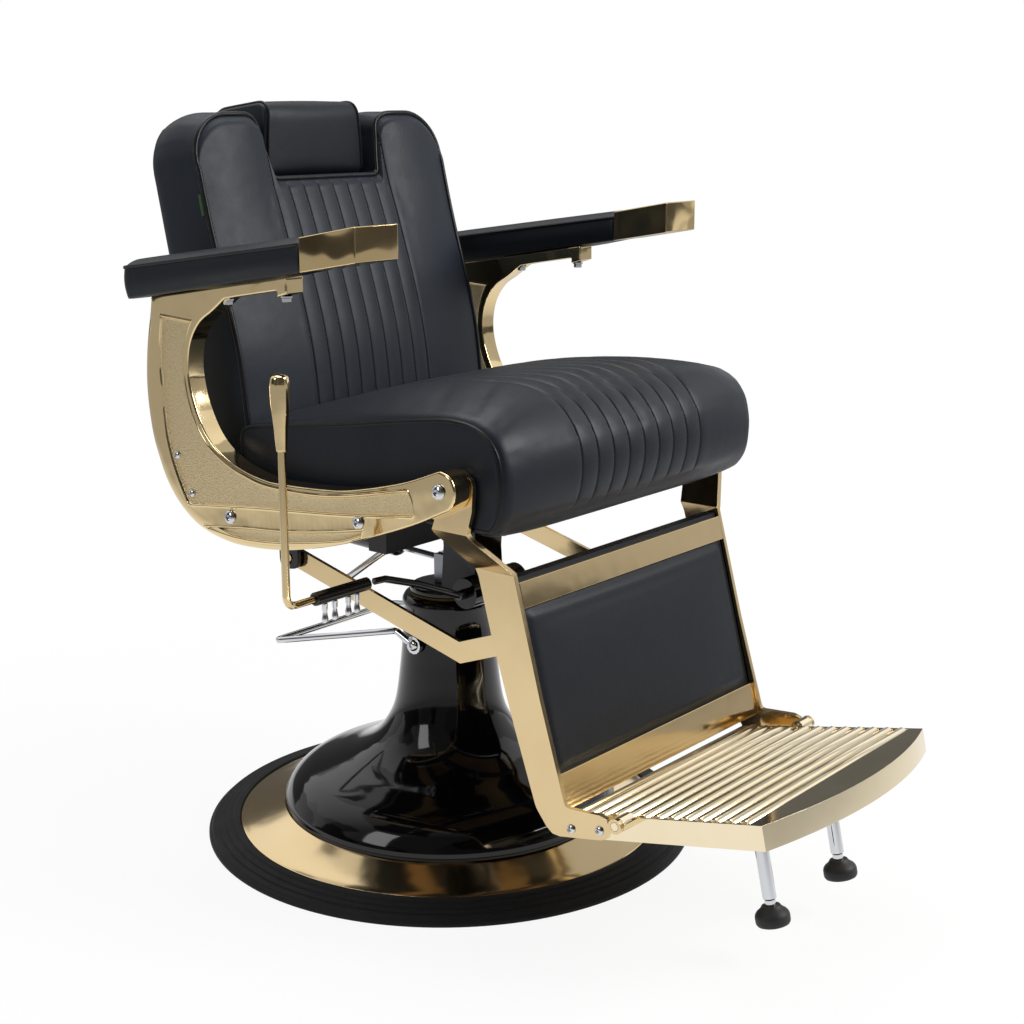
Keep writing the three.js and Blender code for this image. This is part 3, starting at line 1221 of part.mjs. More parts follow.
// Leg tube with a flange under the tread and a swaged lower end.
function footLeg(side) {
  const top = treadBase - GAP;
  const [low, r] = [FOOT_PAD_HIGH + GAP, FOOT_LEG_RADIUS];
  const profile = [
    [0, low], [r - 1.4, low], [r - 1.4, low + 6], [r, low + 8], [r, top - 3], [r + 6, top - 3], [r + 6, top],
    [0, top],
  ];
  return placeFoot(turned(profile, 14, shift(side * FOOT_LEG_X, FOOT_LEG_Y, 0)));
}

function footPad(side) {
  const r = FOOT_PAD_RADIUS;
  const [low, high] = [FOOT_PAD_LOW, FOOT_PAD_HIGH];
  const profile = [
    [0, low], [r - 3, low], [r, low + 4], [r, low + 12], [r - 2.5, low + 16], [r - 8, high - 2.5], [r - 10, high],
    [0, high],
  ];
  return placeFoot(turned(profile, 18, shift(side * FOOT_LEG_X, FOOT_LEG_Y, 0)));
}

addPiece('foot_frame', footFrame(), 'gold');
addPiece('foot_tread', footTread(), 'gold');
addPair('foot_leg', footLeg, 'chrome');
addPair('foot_pad', footPad, 'rubber');

export default group;
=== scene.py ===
# %% [markdown]
# # Hydraulic barber chair
# A barber chair is a cast pedestal with a hydraulic lift, a seat frame between two cast arms, and loose
# upholstery that drops onto boards. The CAD model holds every rigid part and joint. Here each part gets the
# surface that its real maker gives it: upholstery with seams and piping, polished plating, enamel and rubber.

# %% The frame
import json
import math
import bpy
import bmesh
import numpy as np
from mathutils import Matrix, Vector
from mathutils.geometry import delaunay_2d_cdt
from mathutils.kdtree import KDTree


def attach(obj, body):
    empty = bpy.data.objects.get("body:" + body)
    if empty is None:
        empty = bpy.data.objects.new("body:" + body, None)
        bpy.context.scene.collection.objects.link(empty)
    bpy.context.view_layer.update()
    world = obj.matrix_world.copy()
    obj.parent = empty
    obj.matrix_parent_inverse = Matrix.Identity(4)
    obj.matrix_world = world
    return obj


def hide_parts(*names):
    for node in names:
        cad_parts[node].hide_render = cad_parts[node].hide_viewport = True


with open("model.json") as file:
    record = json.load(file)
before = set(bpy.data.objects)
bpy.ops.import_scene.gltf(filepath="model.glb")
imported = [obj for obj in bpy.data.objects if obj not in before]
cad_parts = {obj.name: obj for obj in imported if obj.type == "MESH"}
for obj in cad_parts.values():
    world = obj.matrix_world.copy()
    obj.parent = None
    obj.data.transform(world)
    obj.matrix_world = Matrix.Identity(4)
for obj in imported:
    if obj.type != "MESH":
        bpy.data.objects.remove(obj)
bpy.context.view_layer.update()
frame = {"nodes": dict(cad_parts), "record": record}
MM = 0.001
SIDES = ((-1, "right"), (1, "left"))

# %% [markdown]
# ## Camera
# The photograph was taken from the front left, a little above seat height, with a short telephoto lens.
# Its frame is square, so one focal length serves both ways. A camera or lamp looks along its own -Z axis.

# %% Camera
CAMERA_PLACE = Vector((-1.61584, -1.43951, 0.94751))
CAMERA_TARGET = Vector((0.1319, 0.0, 0.4028))
FOCAL_LENGTH, SENSOR_WIDTH = 59.77, 36.0


def aimed(name, data, place, target):
    """Object at place whose -Z axis points at target."""
    made = bpy.data.objects.new(name, data)
    made.location = place
    made.rotation_euler = (Vector(target) - Vector(place)).to_track_quat("-Z", "Y").to_euler()
    bpy.context.collection.objects.link(made)
    return made


camera_data = bpy.data.cameras.new("camera")
camera_data.sensor_width = SENSOR_WIDTH
camera_data.lens = FOCAL_LENGTH
bpy.context.scene.camera = aimed("camera", camera_data, CAMERA_PLACE, CAMERA_TARGET)
print("camera distance", round((CAMERA_TARGET - CAMERA_PLACE).length, 3))

# %% [markdown]
# ## Nodes
# Every material below is a small tree of nodes. One function adds any node: its settings are keywords, and
# its inputs are values or the outputs of earlier nodes. Colours are written as sRGB hex, as in a colour
# picker, and one function turns them into the linear numbers that the renderer works with.

# %% Colours and nodes
def linear(hex_colour):
    """sRGB hex to a linear RGBA tuple: each channel is raised by the sRGB transfer curve."""
    channels = np.array([int(hex_colour[i:i + 2], 16) for i in (1, 3, 5)]) / 255.0
    low, high = channels / 12.92, ((channels + 0.055) / 1.055) ** 2.4
    return (*np.where(channels <= 0.04045, low, high).tolist(), 1.0)


def add(tree, kind, inputs=None, **settings):
    """Add a node of this kind; inputs maps a socket's name or number to a value or to another socket."""
    made = tree.nodes.new(kind)
    for key, value in settings.items():
        setattr(made, key, value)
    for key, value in (inputs or {}).items():
        if isinstance(value, bpy.types.NodeSocket):
            tree.links.new(value, made.inputs[key])
        else:
            made.inputs[key].default_value = value
    return made


def new_material(name):
    """Material with an empty tree, that tree, and a socket that gives object coordinates."""
    material = bpy.data.materials.new(name)
    material.use_nodes = True
    tree = material.node_tree
    tree.nodes.clear()
    return material, tree, add(tree, "ShaderNodeTexCoord").outputs["Object"]


def surface(tree, inputs):
    """End a tree with a Principled shader that takes these inputs."""
    shader = add(tree, "ShaderNodeBsdfPrincipled", inputs)
    add(tree, "ShaderNodeOutputMaterial", {"Surface": shader.outputs["BSDF"]})


print("mid grey #808080 is", round(linear("#808080")[0], 4), "in linear light")

# %% [markdown]
# A few patterns come back in nearly every tree: noise, rounded pits, a blend of two colours, a value mapped
# onto another span, a sum or product, and a bump.

# %% Patterns
def noise(tree, vector, scale, detail):
    """Noise from 0 to 1 with scale waves in a metre."""
    return add(tree, "ShaderNodeTexNoise", {"Vector": vector, "Scale": scale, "Detail": detail}).outputs[0]


def pits(tree, vector, pitch):
    """Distance to the middle of the nearest rounded Voronoi cell, with one cell in every pitch metres."""
    return add(tree, "ShaderNodeTexVoronoi", {"Vector": vector, "Scale": 1 / pitch},
               feature="SMOOTH_F1").outputs["Distance"]


def blend(tree, share, first, second):
    """Colour that goes from first to second as share goes from 0 to 1; each is sRGB hex or a socket."""
    first, second = (linear(end) if isinstance(end, str) else end for end in (first, second))
    return add(tree, "ShaderNodeMix", {0: share, 6: first, 7: second}, data_type="RGBA").outputs[2]


def spread(tree, value, low, high, start=0.0, end=1.0):
    """Map the span from start to end onto the span from low to high, and clamp what lies outside."""
    return add(tree, "ShaderNodeMapRange", {"Value": value, "From Min": start, "From Max": end,
                                            "To Min": low, "To Max": high}).outputs[0]


def reckon(tree, operation, *values):
    """One sum, product, comparison or other step of arithmetic."""
    return add(tree, "ShaderNodeMath", dict(enumerate(values)), operation=operation).outputs[0]


def bump(tree, height, depth, strength, **over):
    """Normal tilted by the slope of height times depth, in metres; over may hold another bump as Normal."""
    return add(tree, "ShaderNodeBump", {"Height": height, "Distance": depth, "Strength": strength,
                                        **over}).outputs[0]


print("pattern functions 6")

# %% [markdown]
# ## White sweep
# A product photograph is taken on a white sweep, a sheet that is floor and background in one. Its floor reads
# white to the camera and in the plating, because a glow of strength 1 replaces its shading for those rays.
# Near the chair a tenth of the shading is kept, and with it a trace of the chair's shadow. For mirror rays the
# glow fades outwards, as the floor of a studio does away from its lamps.

# %% White sweep
FLOOR_HALF = 9
SHADOW_REACH, SHADOW_KEPT = (0.5, 1.2), 0.1
GLOW_REACH, GLOW_FAR = (0.9, 2.6), 0.45


def seen_by(tree, *kinds):
    """1 for rays of any of these kinds, else 0: the maximum of their flags; and the Light Path node."""
    rays = add(tree, "ShaderNodeLightPath")
    seen = rays.outputs[kinds[0]]
    for kind in kinds[1:]:
        seen = reckon(tree, "MAXIMUM", seen, rays.outputs[kind])
    return seen, rays


def white_floor():
    """Pale matt floor under a glow that camera, mirror and glass rays see."""
    material, tree, place = new_material("white_sweep")
    paper = add(tree, "ShaderNodeBsdfPrincipled", {"Base Color": linear("#f4f4f4"), "Roughness": 0.9})
    seen, rays = seen_by(tree, "Is Camera Ray", "Is Glossy Ray", "Is Transmission Ray")
    away = add(tree, "ShaderNodeVectorMath", {0: place}, operation="LENGTH").outputs["Value"]
    share = reckon(tree, "MULTIPLY", seen, spread(tree, away, 1 - SHADOW_KEPT, 1.0, *SHADOW_REACH))
    faded = spread(tree, away, 1.0, GLOW_FAR, *GLOW_REACH)
    power = add(tree, "ShaderNodeMix", {0: rays.outputs["Is Camera Ray"], 2: faded, 3: 1.0}).outputs[0]
    glow = add(tree, "ShaderNodeEmission", {"Color": linear("#ffffff"), "Strength": power})
    mixed = add(tree, "ShaderNodeMixShader", {0: share, 1: paper.outputs[0], 2: glow.outputs[0]})
    add(tree, "ShaderNodeOutputMaterial", {"Surface": mixed.outputs[0]})
    return material


corners = [(x * FLOOR_HALF, y * FLOOR_HALF, 0) for x, y in ((-1, -1), (1, -1), (1, 1), (-1, 1))]
floor_mesh = bpy.data.meshes.new("floor")
floor_mesh.from_pydata(corners, [], [(0, 1, 2, 3)])
floor_mesh.materials.append(white_floor())
floor = bpy.data.objects.new("floor", floor_mesh)
bpy.context.collection.objects.link(floor)
print("floor", 2 * FLOOR_HALF, "m square")

# %% [markdown]
# ## Room
# The room in front of a sweep is dim and full of gear, and polished metal shows that. So mirror rays see a
# room that goes from grey in front of the chair to white behind it, broken into light and dark blocks by a
# Voronoi pattern of the direction. Other rays see a plain white room at a low strength, and the camera white.

# %% Room
ROOM_STRENGTH = 0.36
TOWARDS_SWEEP = (0.76, 0.62, 0.0)
ROOM_GREYS = ((0.0, "#5c5b5a"), (0.4, "#a3a2a1"), (0.75, "#ececec"), (1.0, "#ffffff"))
BLOCK_SCALE, BLOCK_DARK, BLOCK_LIGHT = 2.3, 0.12, 1.15


def background(tree, colour, strength):
    """Glow of the room in a colour, which is sRGB hex or a socket."""
    colour = linear(colour) if isinstance(colour, str) else colour
    return add(tree, "ShaderNodeBackground", {"Color": colour, "Strength": strength}).outputs[0]


world = bpy.data.worlds.new("studio")
bpy.context.scene.world = world
world.use_nodes = True
sky = world.node_tree
sky.nodes.clear()
mirrored, rays = seen_by(sky, "Is Glossy Ray", "Is Transmission Ray")
direction = add(sky, "ShaderNodeTexCoord").outputs["Generated"]
towards = add(sky, "ShaderNodeVectorMath", {0: direction, 1: TOWARDS_SWEEP}, operation="DOT_PRODUCT")
band = add(sky, "ShaderNodeValToRGB", {0: spread(sky, towards.outputs["Value"], 0.0, 1.0, -0.55, 0.45)})
for at, grey in ROOM_GREYS:
    stops = band.color_ramp.elements
    stop = stops[0] if at == 0.0 else stops[-1] if at == 1.0 else stops.new(at)
    stop.color = linear(grey)
blocks = add(sky, "ShaderNodeTexVoronoi", {"Vector": direction, "Scale": BLOCK_SCALE, "Randomness": 0.75},
             distance="CHEBYCHEV").outputs["Color"]
mirror_room = background(sky, band.outputs[0], spread(sky, blocks, BLOCK_DARK, BLOCK_LIGHT, 0.32, 0.55))
unseen = add(sky, "ShaderNodeMixShader", {0: mirrored, 1: background(sky, "#ffffff", ROOM_STRENGTH),
                                         2: mirror_room}).outputs[0]
whole = add(sky, "ShaderNodeMixShader", {0: rays.outputs["Is Camera Ray"], 1: unseen,
                                         2: background(sky, "#ffffff", 1.0)}).outputs[0]
add(sky, "ShaderNodeOutputWorld", {0: whole})
print("room nodes", len(sky.nodes))

# %% [markdown]
# ## Lamps
# Three softboxes give plain, soft light: a key in front, a narrow one at the side and a wide one above. Their
# power is set so that a colour renders about as it is written.

# %% Lamps
def softbox(name, place, width, depth, power):
    """Rectangular lamp of width by depth metres at place, turned to the middle of the chair."""
    data = bpy.data.lights.new(name, "AREA")
    data.shape, data.size, data.size_y, data.energy = "RECTANGLE", width, depth, power
    aimed(name, data, place, (0, 0, 0.5))


softbox("key_softbox", (1.3, -2.5, 2.2), 1.3, 1.3, 78)
softbox("side_softbox", (-2.7, 0.5, 1.9), 0.9, 1.6, 18)
softbox("top_softbox", (0.3, 0.5, 3.0), 1.8, 1.8, 38)
bpy.context.scene.view_settings.view_transform = "Standard"
print("lamps", len(bpy.data.lights))

# %% [markdown]
# ## Leatherette
# PVC-coated cloth with an embossed pebble grain and a satin top coat. The grain is a few tenths of a
# millimetre deep and about 1.2 mm across; it is drawn 1.8 mm wide here, because the real one is finer than a
# pixel. Where the seat and back are sewn, painted shade darkens the seam's groove, and the thread shows as dashes,
# one every 6 mm.

# %% Leatherette
GRAIN_PITCH = 1.8 * MM
STITCH_PITCH, STITCH_SHARE = 6.0 * MM, 0.6


def sewn_colour(tree, cover):
    """Cover darkened towards the seam by painted shade in its groove, with thread where the seam attribute is near 1
    and the dash is on.
    """
    seam = add(tree, "ShaderNodeAttribute", attribute_name="seam").outputs["Fac"]
    sewn = add(tree, "ShaderNodeUVMap", uv_map="sewn").outputs[0]
    along = add(tree, "ShaderNodeSeparateXYZ", {0: sewn}).outputs["Y"]
    part = reckon(tree, "FRACT", reckon(tree, "DIVIDE", along, STITCH_PITCH))
    dash = reckon(tree, "LESS_THAN", part, STITCH_SHARE)
    thread = reckon(tree, "MULTIPLY", dash, reckon(tree, "GREATER_THAN", seam, 0.8))
    # Painted shade: the seam's groove is darkened towards #0b0c0f; #2b2f37 is the thread.
    return blend(tree, thread, blend(tree, seam, cover, "#0b0c0f"), "#2b2f37")


def leatherette(name, base, deep, roughness, stitched=False):
    """Embossed vinyl: colour drifts between two shades, and Voronoi cells give the pebbles."""
    material, tree, place = new_material(name)
    pebble, crease = pits(tree, place, GRAIN_PITCH), noise(tree, place, 55.0, 4.0)
    colour = blend(tree, noise(tree, place, 9.0, 3.0), deep, base)
    colour = blend(tree, spread(tree, pebble, 0.0, 0.5), colour, deep)
    grain = bump(tree, pebble, 0.12 * MM, 0.55)
    surface(tree, {"Base Color": sewn_colour(tree, colour) if stitched else colour, "IOR": 1.5,
                   "Specular IOR Level": 0.26, "Roughness": spread(tree, crease, roughness - 0.05, roughness + 0.07),
                   "Normal": bump(tree, crease, 0.8 * MM, 0.3, Normal=grain)})
    return material


# The back's copy of the seat's vinyl is painted a little lighter, as painted light, and the pads' copy darker, as
# painted shade.
seat_leather = leatherette("leatherette_seat", "#171c26", "#13171f", 0.43, stitched=True)
back_leather_lit_copy = leatherette("leatherette_back_lit_copy", "#19202b", "#151b24", 0.45, stitched=True)
pad_leather_shaded_copy = leatherette("leatherette_pads_shaded_copy", "#13171f", "#0f1319", 0.44)
piping_leather = leatherette("leatherette_piping", "#0f1116", "#0b0c10", 0.36)
print("leatherette grain", GRAIN_PITCH / MM, "mm, stitch", STITCH_PITCH / MM, "mm")

# %% [markdown]
# ## Plating
# The castings and plates are polished, nickel-plated and then coated a pale champagne gold. A polished metal
# has almost no colour of its own other than its reflection's tint. Hand polishing leaves faint waves, which
# are longest and deepest on the hand caps. Handling leaves a haze, so roughness drifts from place to place.

# %% Plating
WAVE_PITCH, CAP_WAVE_PITCH = 26 * MM, 70 * MM
BRUSHED_STRETCH = (60.0, 900.0, 900.0)


def plating(name, tint, shade, roughness, depth, pitch=WAVE_PITCH, brushed=False):
    """Polished plate: two close tints, a cloudy roughness, and waves whose depth is in millimetres."""
    material, tree, place = new_material(name)
    cloud = noise(tree, place, 14.0, 3.0)
    if brushed:
        stretched = add(tree, "ShaderNodeMapping", {"Vector": place, "Scale": BRUSHED_STRETCH}).outputs[0]
        height = noise(tree, stretched, 1.0, 2.0)
    else:
        height = noise(tree, place, 1 / pitch, 0.5)
    surface(tree, {"Base Color": blend(tree, cloud, shade, tint), "Metallic": 1.0,
                   "Roughness": spread(tree, cloud, roughness * 0.8, roughness * 1.3),
                   "Normal": bump(tree, height, depth * MM, 0.35)})
    return material


gold_cast = plating("gold_polished_casting", "#e7d1a3", "#dcc596", 0.08, 2.5)
gold_cap = plating("gold_polished_cap", "#e2ca9c", "#d3b985", 0.07, 16, CAP_WAVE_PITCH)
gold_plate = plating("gold_polished_plate", "#e0c99d", "#d5bc8f", 0.11, 0.5)
# The tread's tint is paler than the other gold, as painted highlight on its ribs.
gold_tread = plating("gold_tread_painted_highlight", "#f3e6c8", "#ead9b6", 0.12, 0.3)
chrome = plating("chrome_bright", "#d9dadd", "#c6c8cc", 0.07, 0.1)
zinc = plating("zinc_plated_steel", "#9a9da2", "#85888d", 0.34, 0.2, brushed=True)
# The bush's bronze is painted dark, as painted shade where its flange shows under the pump head.
bronze = plating("bronze_bearing_painted_shade", "#5f4c2e", "#4c3c25", 0.42, 0.2, brushed=True)
print("gold finishes", len([material for material in bpy.data.materials if "gold" in material.name]))

# %% [markdown]
# ## Stippled ground
# The recessed panels of the castings keep the stippled ground that a punch or blasting leaves: rounded pits a
# millimetre and a half apart, with fine grit between them.

# %% Stippled ground
STIPPLE_PITCH = 1.5 * MM


def stippled_gold():
    """Rough gold, paler in the middle of each pit, with a bump of pits and grit together."""
    material, tree, place = new_material("gold_stippled_ground")
    pit, grit = pits(tree, place, STIPPLE_PITCH), noise(tree, place, 900.0, 2.0)
    surface(tree, {"Base Color": blend(tree, spread(tree, pit, 0.0, 1.0), "#eedcb4", "#c9b286"), "Metallic": 1.0,
                   "Roughness": spread(tree, grit, 0.34, 0.5),
                   "Normal": bump(tree, reckon(tree, "ADD", pit, grit), 0.5 * MM, 0.75)})
    return material


gold_ground = stippled_gold()
print("stipple pitch", STIPPLE_PITCH / MM, "mm")

# %% [markdown]
# ## Enamel, paint and tape
# The pedestal is a casting under thick black enamel, ground flat and glossy. Frames out of sight are steel
# under satin black paint, the feet are plain rubber, and the little tab in the back's seam is woven tape. All
# are the same kind of surface: a coloured, non-metallic skin with a fine bump and maybe a clear coat.

# %% Enamel, paint and tape
def coated(name, tint, shade, roughness, bump_scale, bump_depth, coat=0.0, ior=1.5):
    """Non-metallic skin: two shades, a roughness that drifts, a fine bump in millimetres and a clear coat."""
    material, tree, place = new_material(name)
    cloud = noise(tree, place, 11.0, 4.0)
    surface(tree, {"Base Color": blend(tree, cloud, shade, tint), "IOR": ior, "Coat Weight": coat,
                   "Coat Roughness": 0.03, "Roughness": spread(tree, cloud, roughness * 0.8, roughness * 1.25),
                   "Normal": bump(tree, noise(tree, place, bump_scale, 2.0), bump_depth * MM, 0.4)})
    return material


enamel = coated("enamel_gloss_black", "#070709", "#040405", 0.07, 60.0, 0.02, coat=0.05, ior=1.42)
handle_black = coated("paint_black_satin", "#111114", "#0b0b0d", 0.30, 500.0, 0.06, coat=0.3)
frame_paint = coated("paint_black_frame", "#1c1c1f", "#141416", 0.42, 400.0, 0.1)
foot_rubber = coated("rubber_feet", "#17171a", "#101012", 0.55, 700.0, 0.15)
tab_cloth = coated("tape_woven_green", "#35592c", "#223c1d", 0.7, 1400.0, 0.2)
print("finishes so far", len(bpy.data.materials))

# %% [markdown]
# ## Rubber and board
# The rim is moulded rubber, dull, with the circular draw marks of its mould. The seat's board is bare
# plywood, whose long grain runs across the chair.

# %% Rubber and board
RING_PITCH = 2.4 * MM
VEIN_STRETCH = (6.0, 250.0, 250.0)


def moulded_rubber():
    """Dull rubber with rings round the chair's axis. Blender's wave repeats 10 / pi times in a unit, so its
    scale is pi / (10 * pitch)."""
    material, tree, place = new_material("rubber_moulded")
    rings = add(tree, "ShaderNodeTexWave", {"Vector": place, "Scale": math.pi / (10 * RING_PITCH),
                                            "Distortion": 0.4, "Detail": 1.0},
                wave_type="RINGS", rings_direction="Z").outputs[1]
    dust = noise(tree, place, 26.0, 5.0)
    surface(tree, {"Base Color": blend(tree, dust, "#0e0e10", "#1b1b1d"), "IOR": 1.52,
                   "Specular IOR Level": 0.22, "Roughness": spread(tree, dust, 0.5, 0.75),
                   "Normal": bump(tree, rings, 0.3 * MM, 0.5)})
    return material


def birch_ply():
    """Bare plywood: long grain along X, drawn 4 mm wide, with pale and darker veins."""
    material, tree, place = new_material("birch_plywood")
    stretched = add(tree, "ShaderNodeMapping", {"Vector": place, "Scale": VEIN_STRETCH}).outputs[0]
    veins = noise(tree, stretched, 1.0, 3.0)
    surface(tree, {"Base Color": blend(tree, veins, "#8f6d44", "#b8935f"),
                   "Roughness": spread(tree, veins, 0.55, 0.75), "Normal": bump(tree, veins, 0.2 * MM, 0.4)})
    return material


rubber = moulded_rubber()
plywood = birch_ply()
print("materials", len(bpy.data.materials))

# %% [markdown]
# ## From arrays to a mesh
# Every new surface is a grid of points worked out with numpy. A grid needs the same few steps each time:
# number its quads, close it, and check by its volume that its faces point outwards. Sizes are in millimetres
# here and turned to metres once, when the mesh is made.

# %% Faces of grids
def quads(index):
    """Faces between neighbouring entries of a 2-D array of vertex numbers."""
    a, b, c, d = index[:-1, :-1], index[1:, :-1], index[1:, 1:], index[:-1, 1:]
    return np.stack([a, b, c, d], axis=-1).reshape(-1, 4)


def closed(index, axis):
    """Repeat the first row or column after the last, so that a grid of numbers closes on itself."""
    return np.concatenate([index, np.take(index, [0], axis=axis)], axis=axis)


def ring_faces(rings, sides):
    """Quads of a stack of closed rings, and an n-gon over each end."""
    index = np.arange(rings * sides).reshape(rings, sides)
    return quads(closed(index, 1)).tolist() + [index[0].tolist(), index[-1][::-1].tolist()]


def turned_outwards(points, faces):
    """Faces reversed if the volume that they enclose comes out negative: sum of a . (b x c) over triangles."""
    total = 0.0
    for face in faces:
        ring = points[np.asarray(face)]
        total += np.sum(np.cross(ring[1:-1], ring[2:]) @ ring[0])
    return [list(face)[::-1] for face in faces] if total < 0 else [list(face) for face in faces]


print("a box of rings has", len(ring_faces(2, 4)), "faces")

# %% [markdown]
# A mesh becomes a piece of the chair when it is shaded, hung on the body that moves it, and put in place of
# the CAD parts that it stands for, which are hidden. A cover also carries its seams: how near each point is to
# one, and where along the thread it lies.


def hung(name, mesh, body, replaces=(), sharp=40):
    """Object of the mesh, smooth up to the sharp angle in degrees, on its body, with the CAD parts it replaces
    hidden.
    """
    mesh.polygons.foreach_set("use_smooth", np.ones(len(mesh.polygons), dtype=bool))
    if sharp:
        mesh.set_sharp_from_angle(angle=math.radians(sharp))
    made = bpy.data.objects.new(name, mesh)
    bpy.context.collection.objects.link(made)
    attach(made, body)
    if replaces:
        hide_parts(*replaces)
    return made


def piece(name, points, faces, body, material, replaces=(), sharp=40, uv=None, seam=None):
    """Piece of the chair from millimetre points and faces."""
    mesh = bpy.data.meshes.new(name)
    mesh.from_pydata((np.asarray(points) * MM).tolist(), [], turned_outwards(np.asarray(points), faces))
    mesh.materials.append(material)
    if uv is not None:
        loops = np.empty(len(mesh.loops), dtype=np.int32)
        mesh.loops.foreach_get("vertex_index", loops)
        mesh.uv_layers.new(name="sewn").data.foreach_set("uv", np.asarray(uv, dtype=np.float32)[loops].ravel())
        # The seam attribute holds the painted shade along each seam, and near 1 it marks the thread.
        layer = mesh.attributes.new("seam", "FLOAT", "POINT")
        layer.data.foreach_set("value", np.asarray(seam, dtype=np.float32))
    return hung(name, mesh, body, replaces, sharp)


# %% [markdown]
# Outlines are drawn as a draughtsman does, from corners with roundings or from a curve through points, and
# then resampled so that the faces come out even.

# %% Outlines and curves
def rounded(corners, steps=10):
    """Closed outline from corners (a, b, rounding): each rounding is a quadratic arc between its two tangents."""
    corners = [(*corner, 0.0)[:3] for corner in corners]
    out = []
    for i, (a, b, radius) in enumerate(corners):
        here = np.array([a, b])
        if not radius:
            out.append(here)
            continue
        before = np.array(corners[i - 1][:2]) - here
        after = np.array(corners[(i + 1) % len(corners)][:2]) - here
        before, after = before / np.linalg.norm(before), after / np.linalg.norm(after)
        reach = radius / math.tan(math.acos(np.clip(before @ after, -1, 1)) / 2)
        out.extend(arc(here + before * reach, here, here + after * reach, steps))
    return np.array(out)


def arc(start, corner, end, steps):
    """Quadratic arc from start to end that leaves and arrives towards the corner."""
    t = np.linspace(0, 1, steps)[:, None]
    start, corner, end = np.array(start), np.array(corner), np.array(end)
    return (1 - t) ** 2 * start + 2 * t * (1 - t) * corner + t ** 2 * end


def spaced(path, count, loop=True):
    """Resample a path at equal arc lengths: cumulative chord length, then linear interpolation."""
    path = np.asarray(path, dtype=float)
    if loop:
        path = np.concatenate([path, path[:1]])
    path = path[np.concatenate([[True], np.linalg.norm(np.diff(path, axis=0), axis=1) > 1e-6])]
    along = np.concatenate([[0], np.cumsum(np.linalg.norm(np.diff(path, axis=0), axis=1))])
    at = np.linspace(0, along[-1], count + 1)[:-1] if loop else np.linspace(0, along[-1], count)
    return np.stack([np.interp(at, along, path[:, k]) for k in range(path.shape[1])], axis=1)


def spline(points, count):
    """Catmull-Rom curve through the points, with count places between each two: cubic blends of four."""
    points = np.asarray(points, dtype=float)
    padded = np.concatenate([[2 * points[0] - points[1]], points, [2 * points[-1] - points[-2]]])
    t = np.linspace(0, 1, count, endpoint=False)[:, None]
    out = []
    for p0, p1, p2, p3 in zip(padded[:-3], padded[1:-2], padded[2:-1], padded[3:]):
        out.append(0.5 * (2 * p1 + (p2 - p0) * t + (2 * p0 - 5 * p1 + 4 * p2 - p3) * t ** 2
                          + (3 * p1 - p0 - 3 * p2 + p3) * t ** 3))
    return np.concatenate(out + [points[-1:]])


def smoothstep(low, high, value):
    """0 at low, 1 at high and 3t^2 - 2t^3 between them; low may be the greater, and the step then falls."""
    t = np.clip((value - low) / (high - low), 0, 1)
    return t * t * (3 - 2 * t)


print("half way up a step:", smoothstep(0, 2, 1.0))

# %% [markdown]
# Piping is a cord sewn into a strip of vinyl. It runs round the edge of a panel and looks like a thin tube.

# %% Tubes and piping
def tube(path, radius, sides, loop):
    """Points and faces of a round tube: circles square to the path's tangent, in frames that don't twist."""
    if loop:
        tangent = np.roll(path, -1, axis=0) - np.roll(path, 1, axis=0)
    else:
        tangent = np.gradient(path, axis=0)
    tangent /= np.linalg.norm(tangent, axis=1, keepdims=True)
    side = np.cross(tangent[0], [0.3, 0.5, 0.81])
    sides_at = []
    for direction in tangent:
        side = side - direction * (side @ direction)
        side /= np.linalg.norm(side)
        sides_at.append(side)
    side = np.array(sides_at)
    up = np.cross(tangent, side)
    angle = np.linspace(0, 2 * np.pi, sides, endpoint=False)
    ring = np.cos(angle)[None, :, None] * side[:, None] + np.sin(angle)[None, :, None] * up[:, None]
    points = (path[:, None] + ring * radius).reshape(-1, 3)
    if not loop:
        return points, ring_faces(len(path), sides)
    index = np.arange(len(path) * sides).reshape(len(path), sides)
    return points, quads(closed(closed(index, 1), 0)).tolist()


def piping(name, path, count, radius, sides, body, loop=True):
    """Piping along a path that is resampled to count places."""
    points, faces = tube(spaced(path, count, loop), radius, sides, loop)
    piece(name, points, faces, body, piping_leather)


print("piping material", piping_leather.name)

# %% [markdown]
# ## Covers stretched over foam
# A cover is cut a little small, and the foam presses its panels out between the places where boards and
# sewn edges hold them. Blender's Cloth does the same: a voxel copy of the plain shape swells for 20 frames
# under pressure, with gravity off. The sewn grid then follows the copy, because a voxel mesh has no room
# for a seam, and the seams and channels are added after it.

# %% Swelling by cloth simulation
PRESSURE, LAST_FRAME, NEIGHBOURS = 4.0, 20, 6


def coordinates(mesh):
    """Places of a mesh's vertices as an array of millimetres."""
    flat = np.empty(len(mesh.vertices) * 3)
    mesh.vertices.foreach_get("co", flat)
    return flat.reshape(-1, 3) / MM


def foam_copy(name, points, faces, voxel):
    """Closed copy of the plain shape, remeshed into even cells of voxel millimetres."""
    mesh = bpy.data.meshes.new(name + "_foam")
    mesh.from_pydata((points * MM).tolist(), [], turned_outwards(points, faces))
    copy = bpy.data.objects.new(name + "_foam", mesh)
    bpy.context.collection.objects.link(copy)
    remesh = copy.modifiers.new("voxels", "REMESH")
    remesh.mode, remesh.voxel_size = "VOXEL", voxel * MM
    with bpy.context.temp_override(object=copy, active_object=copy):
        bpy.ops.object.modifier_apply(modifier="voxels")
    return copy


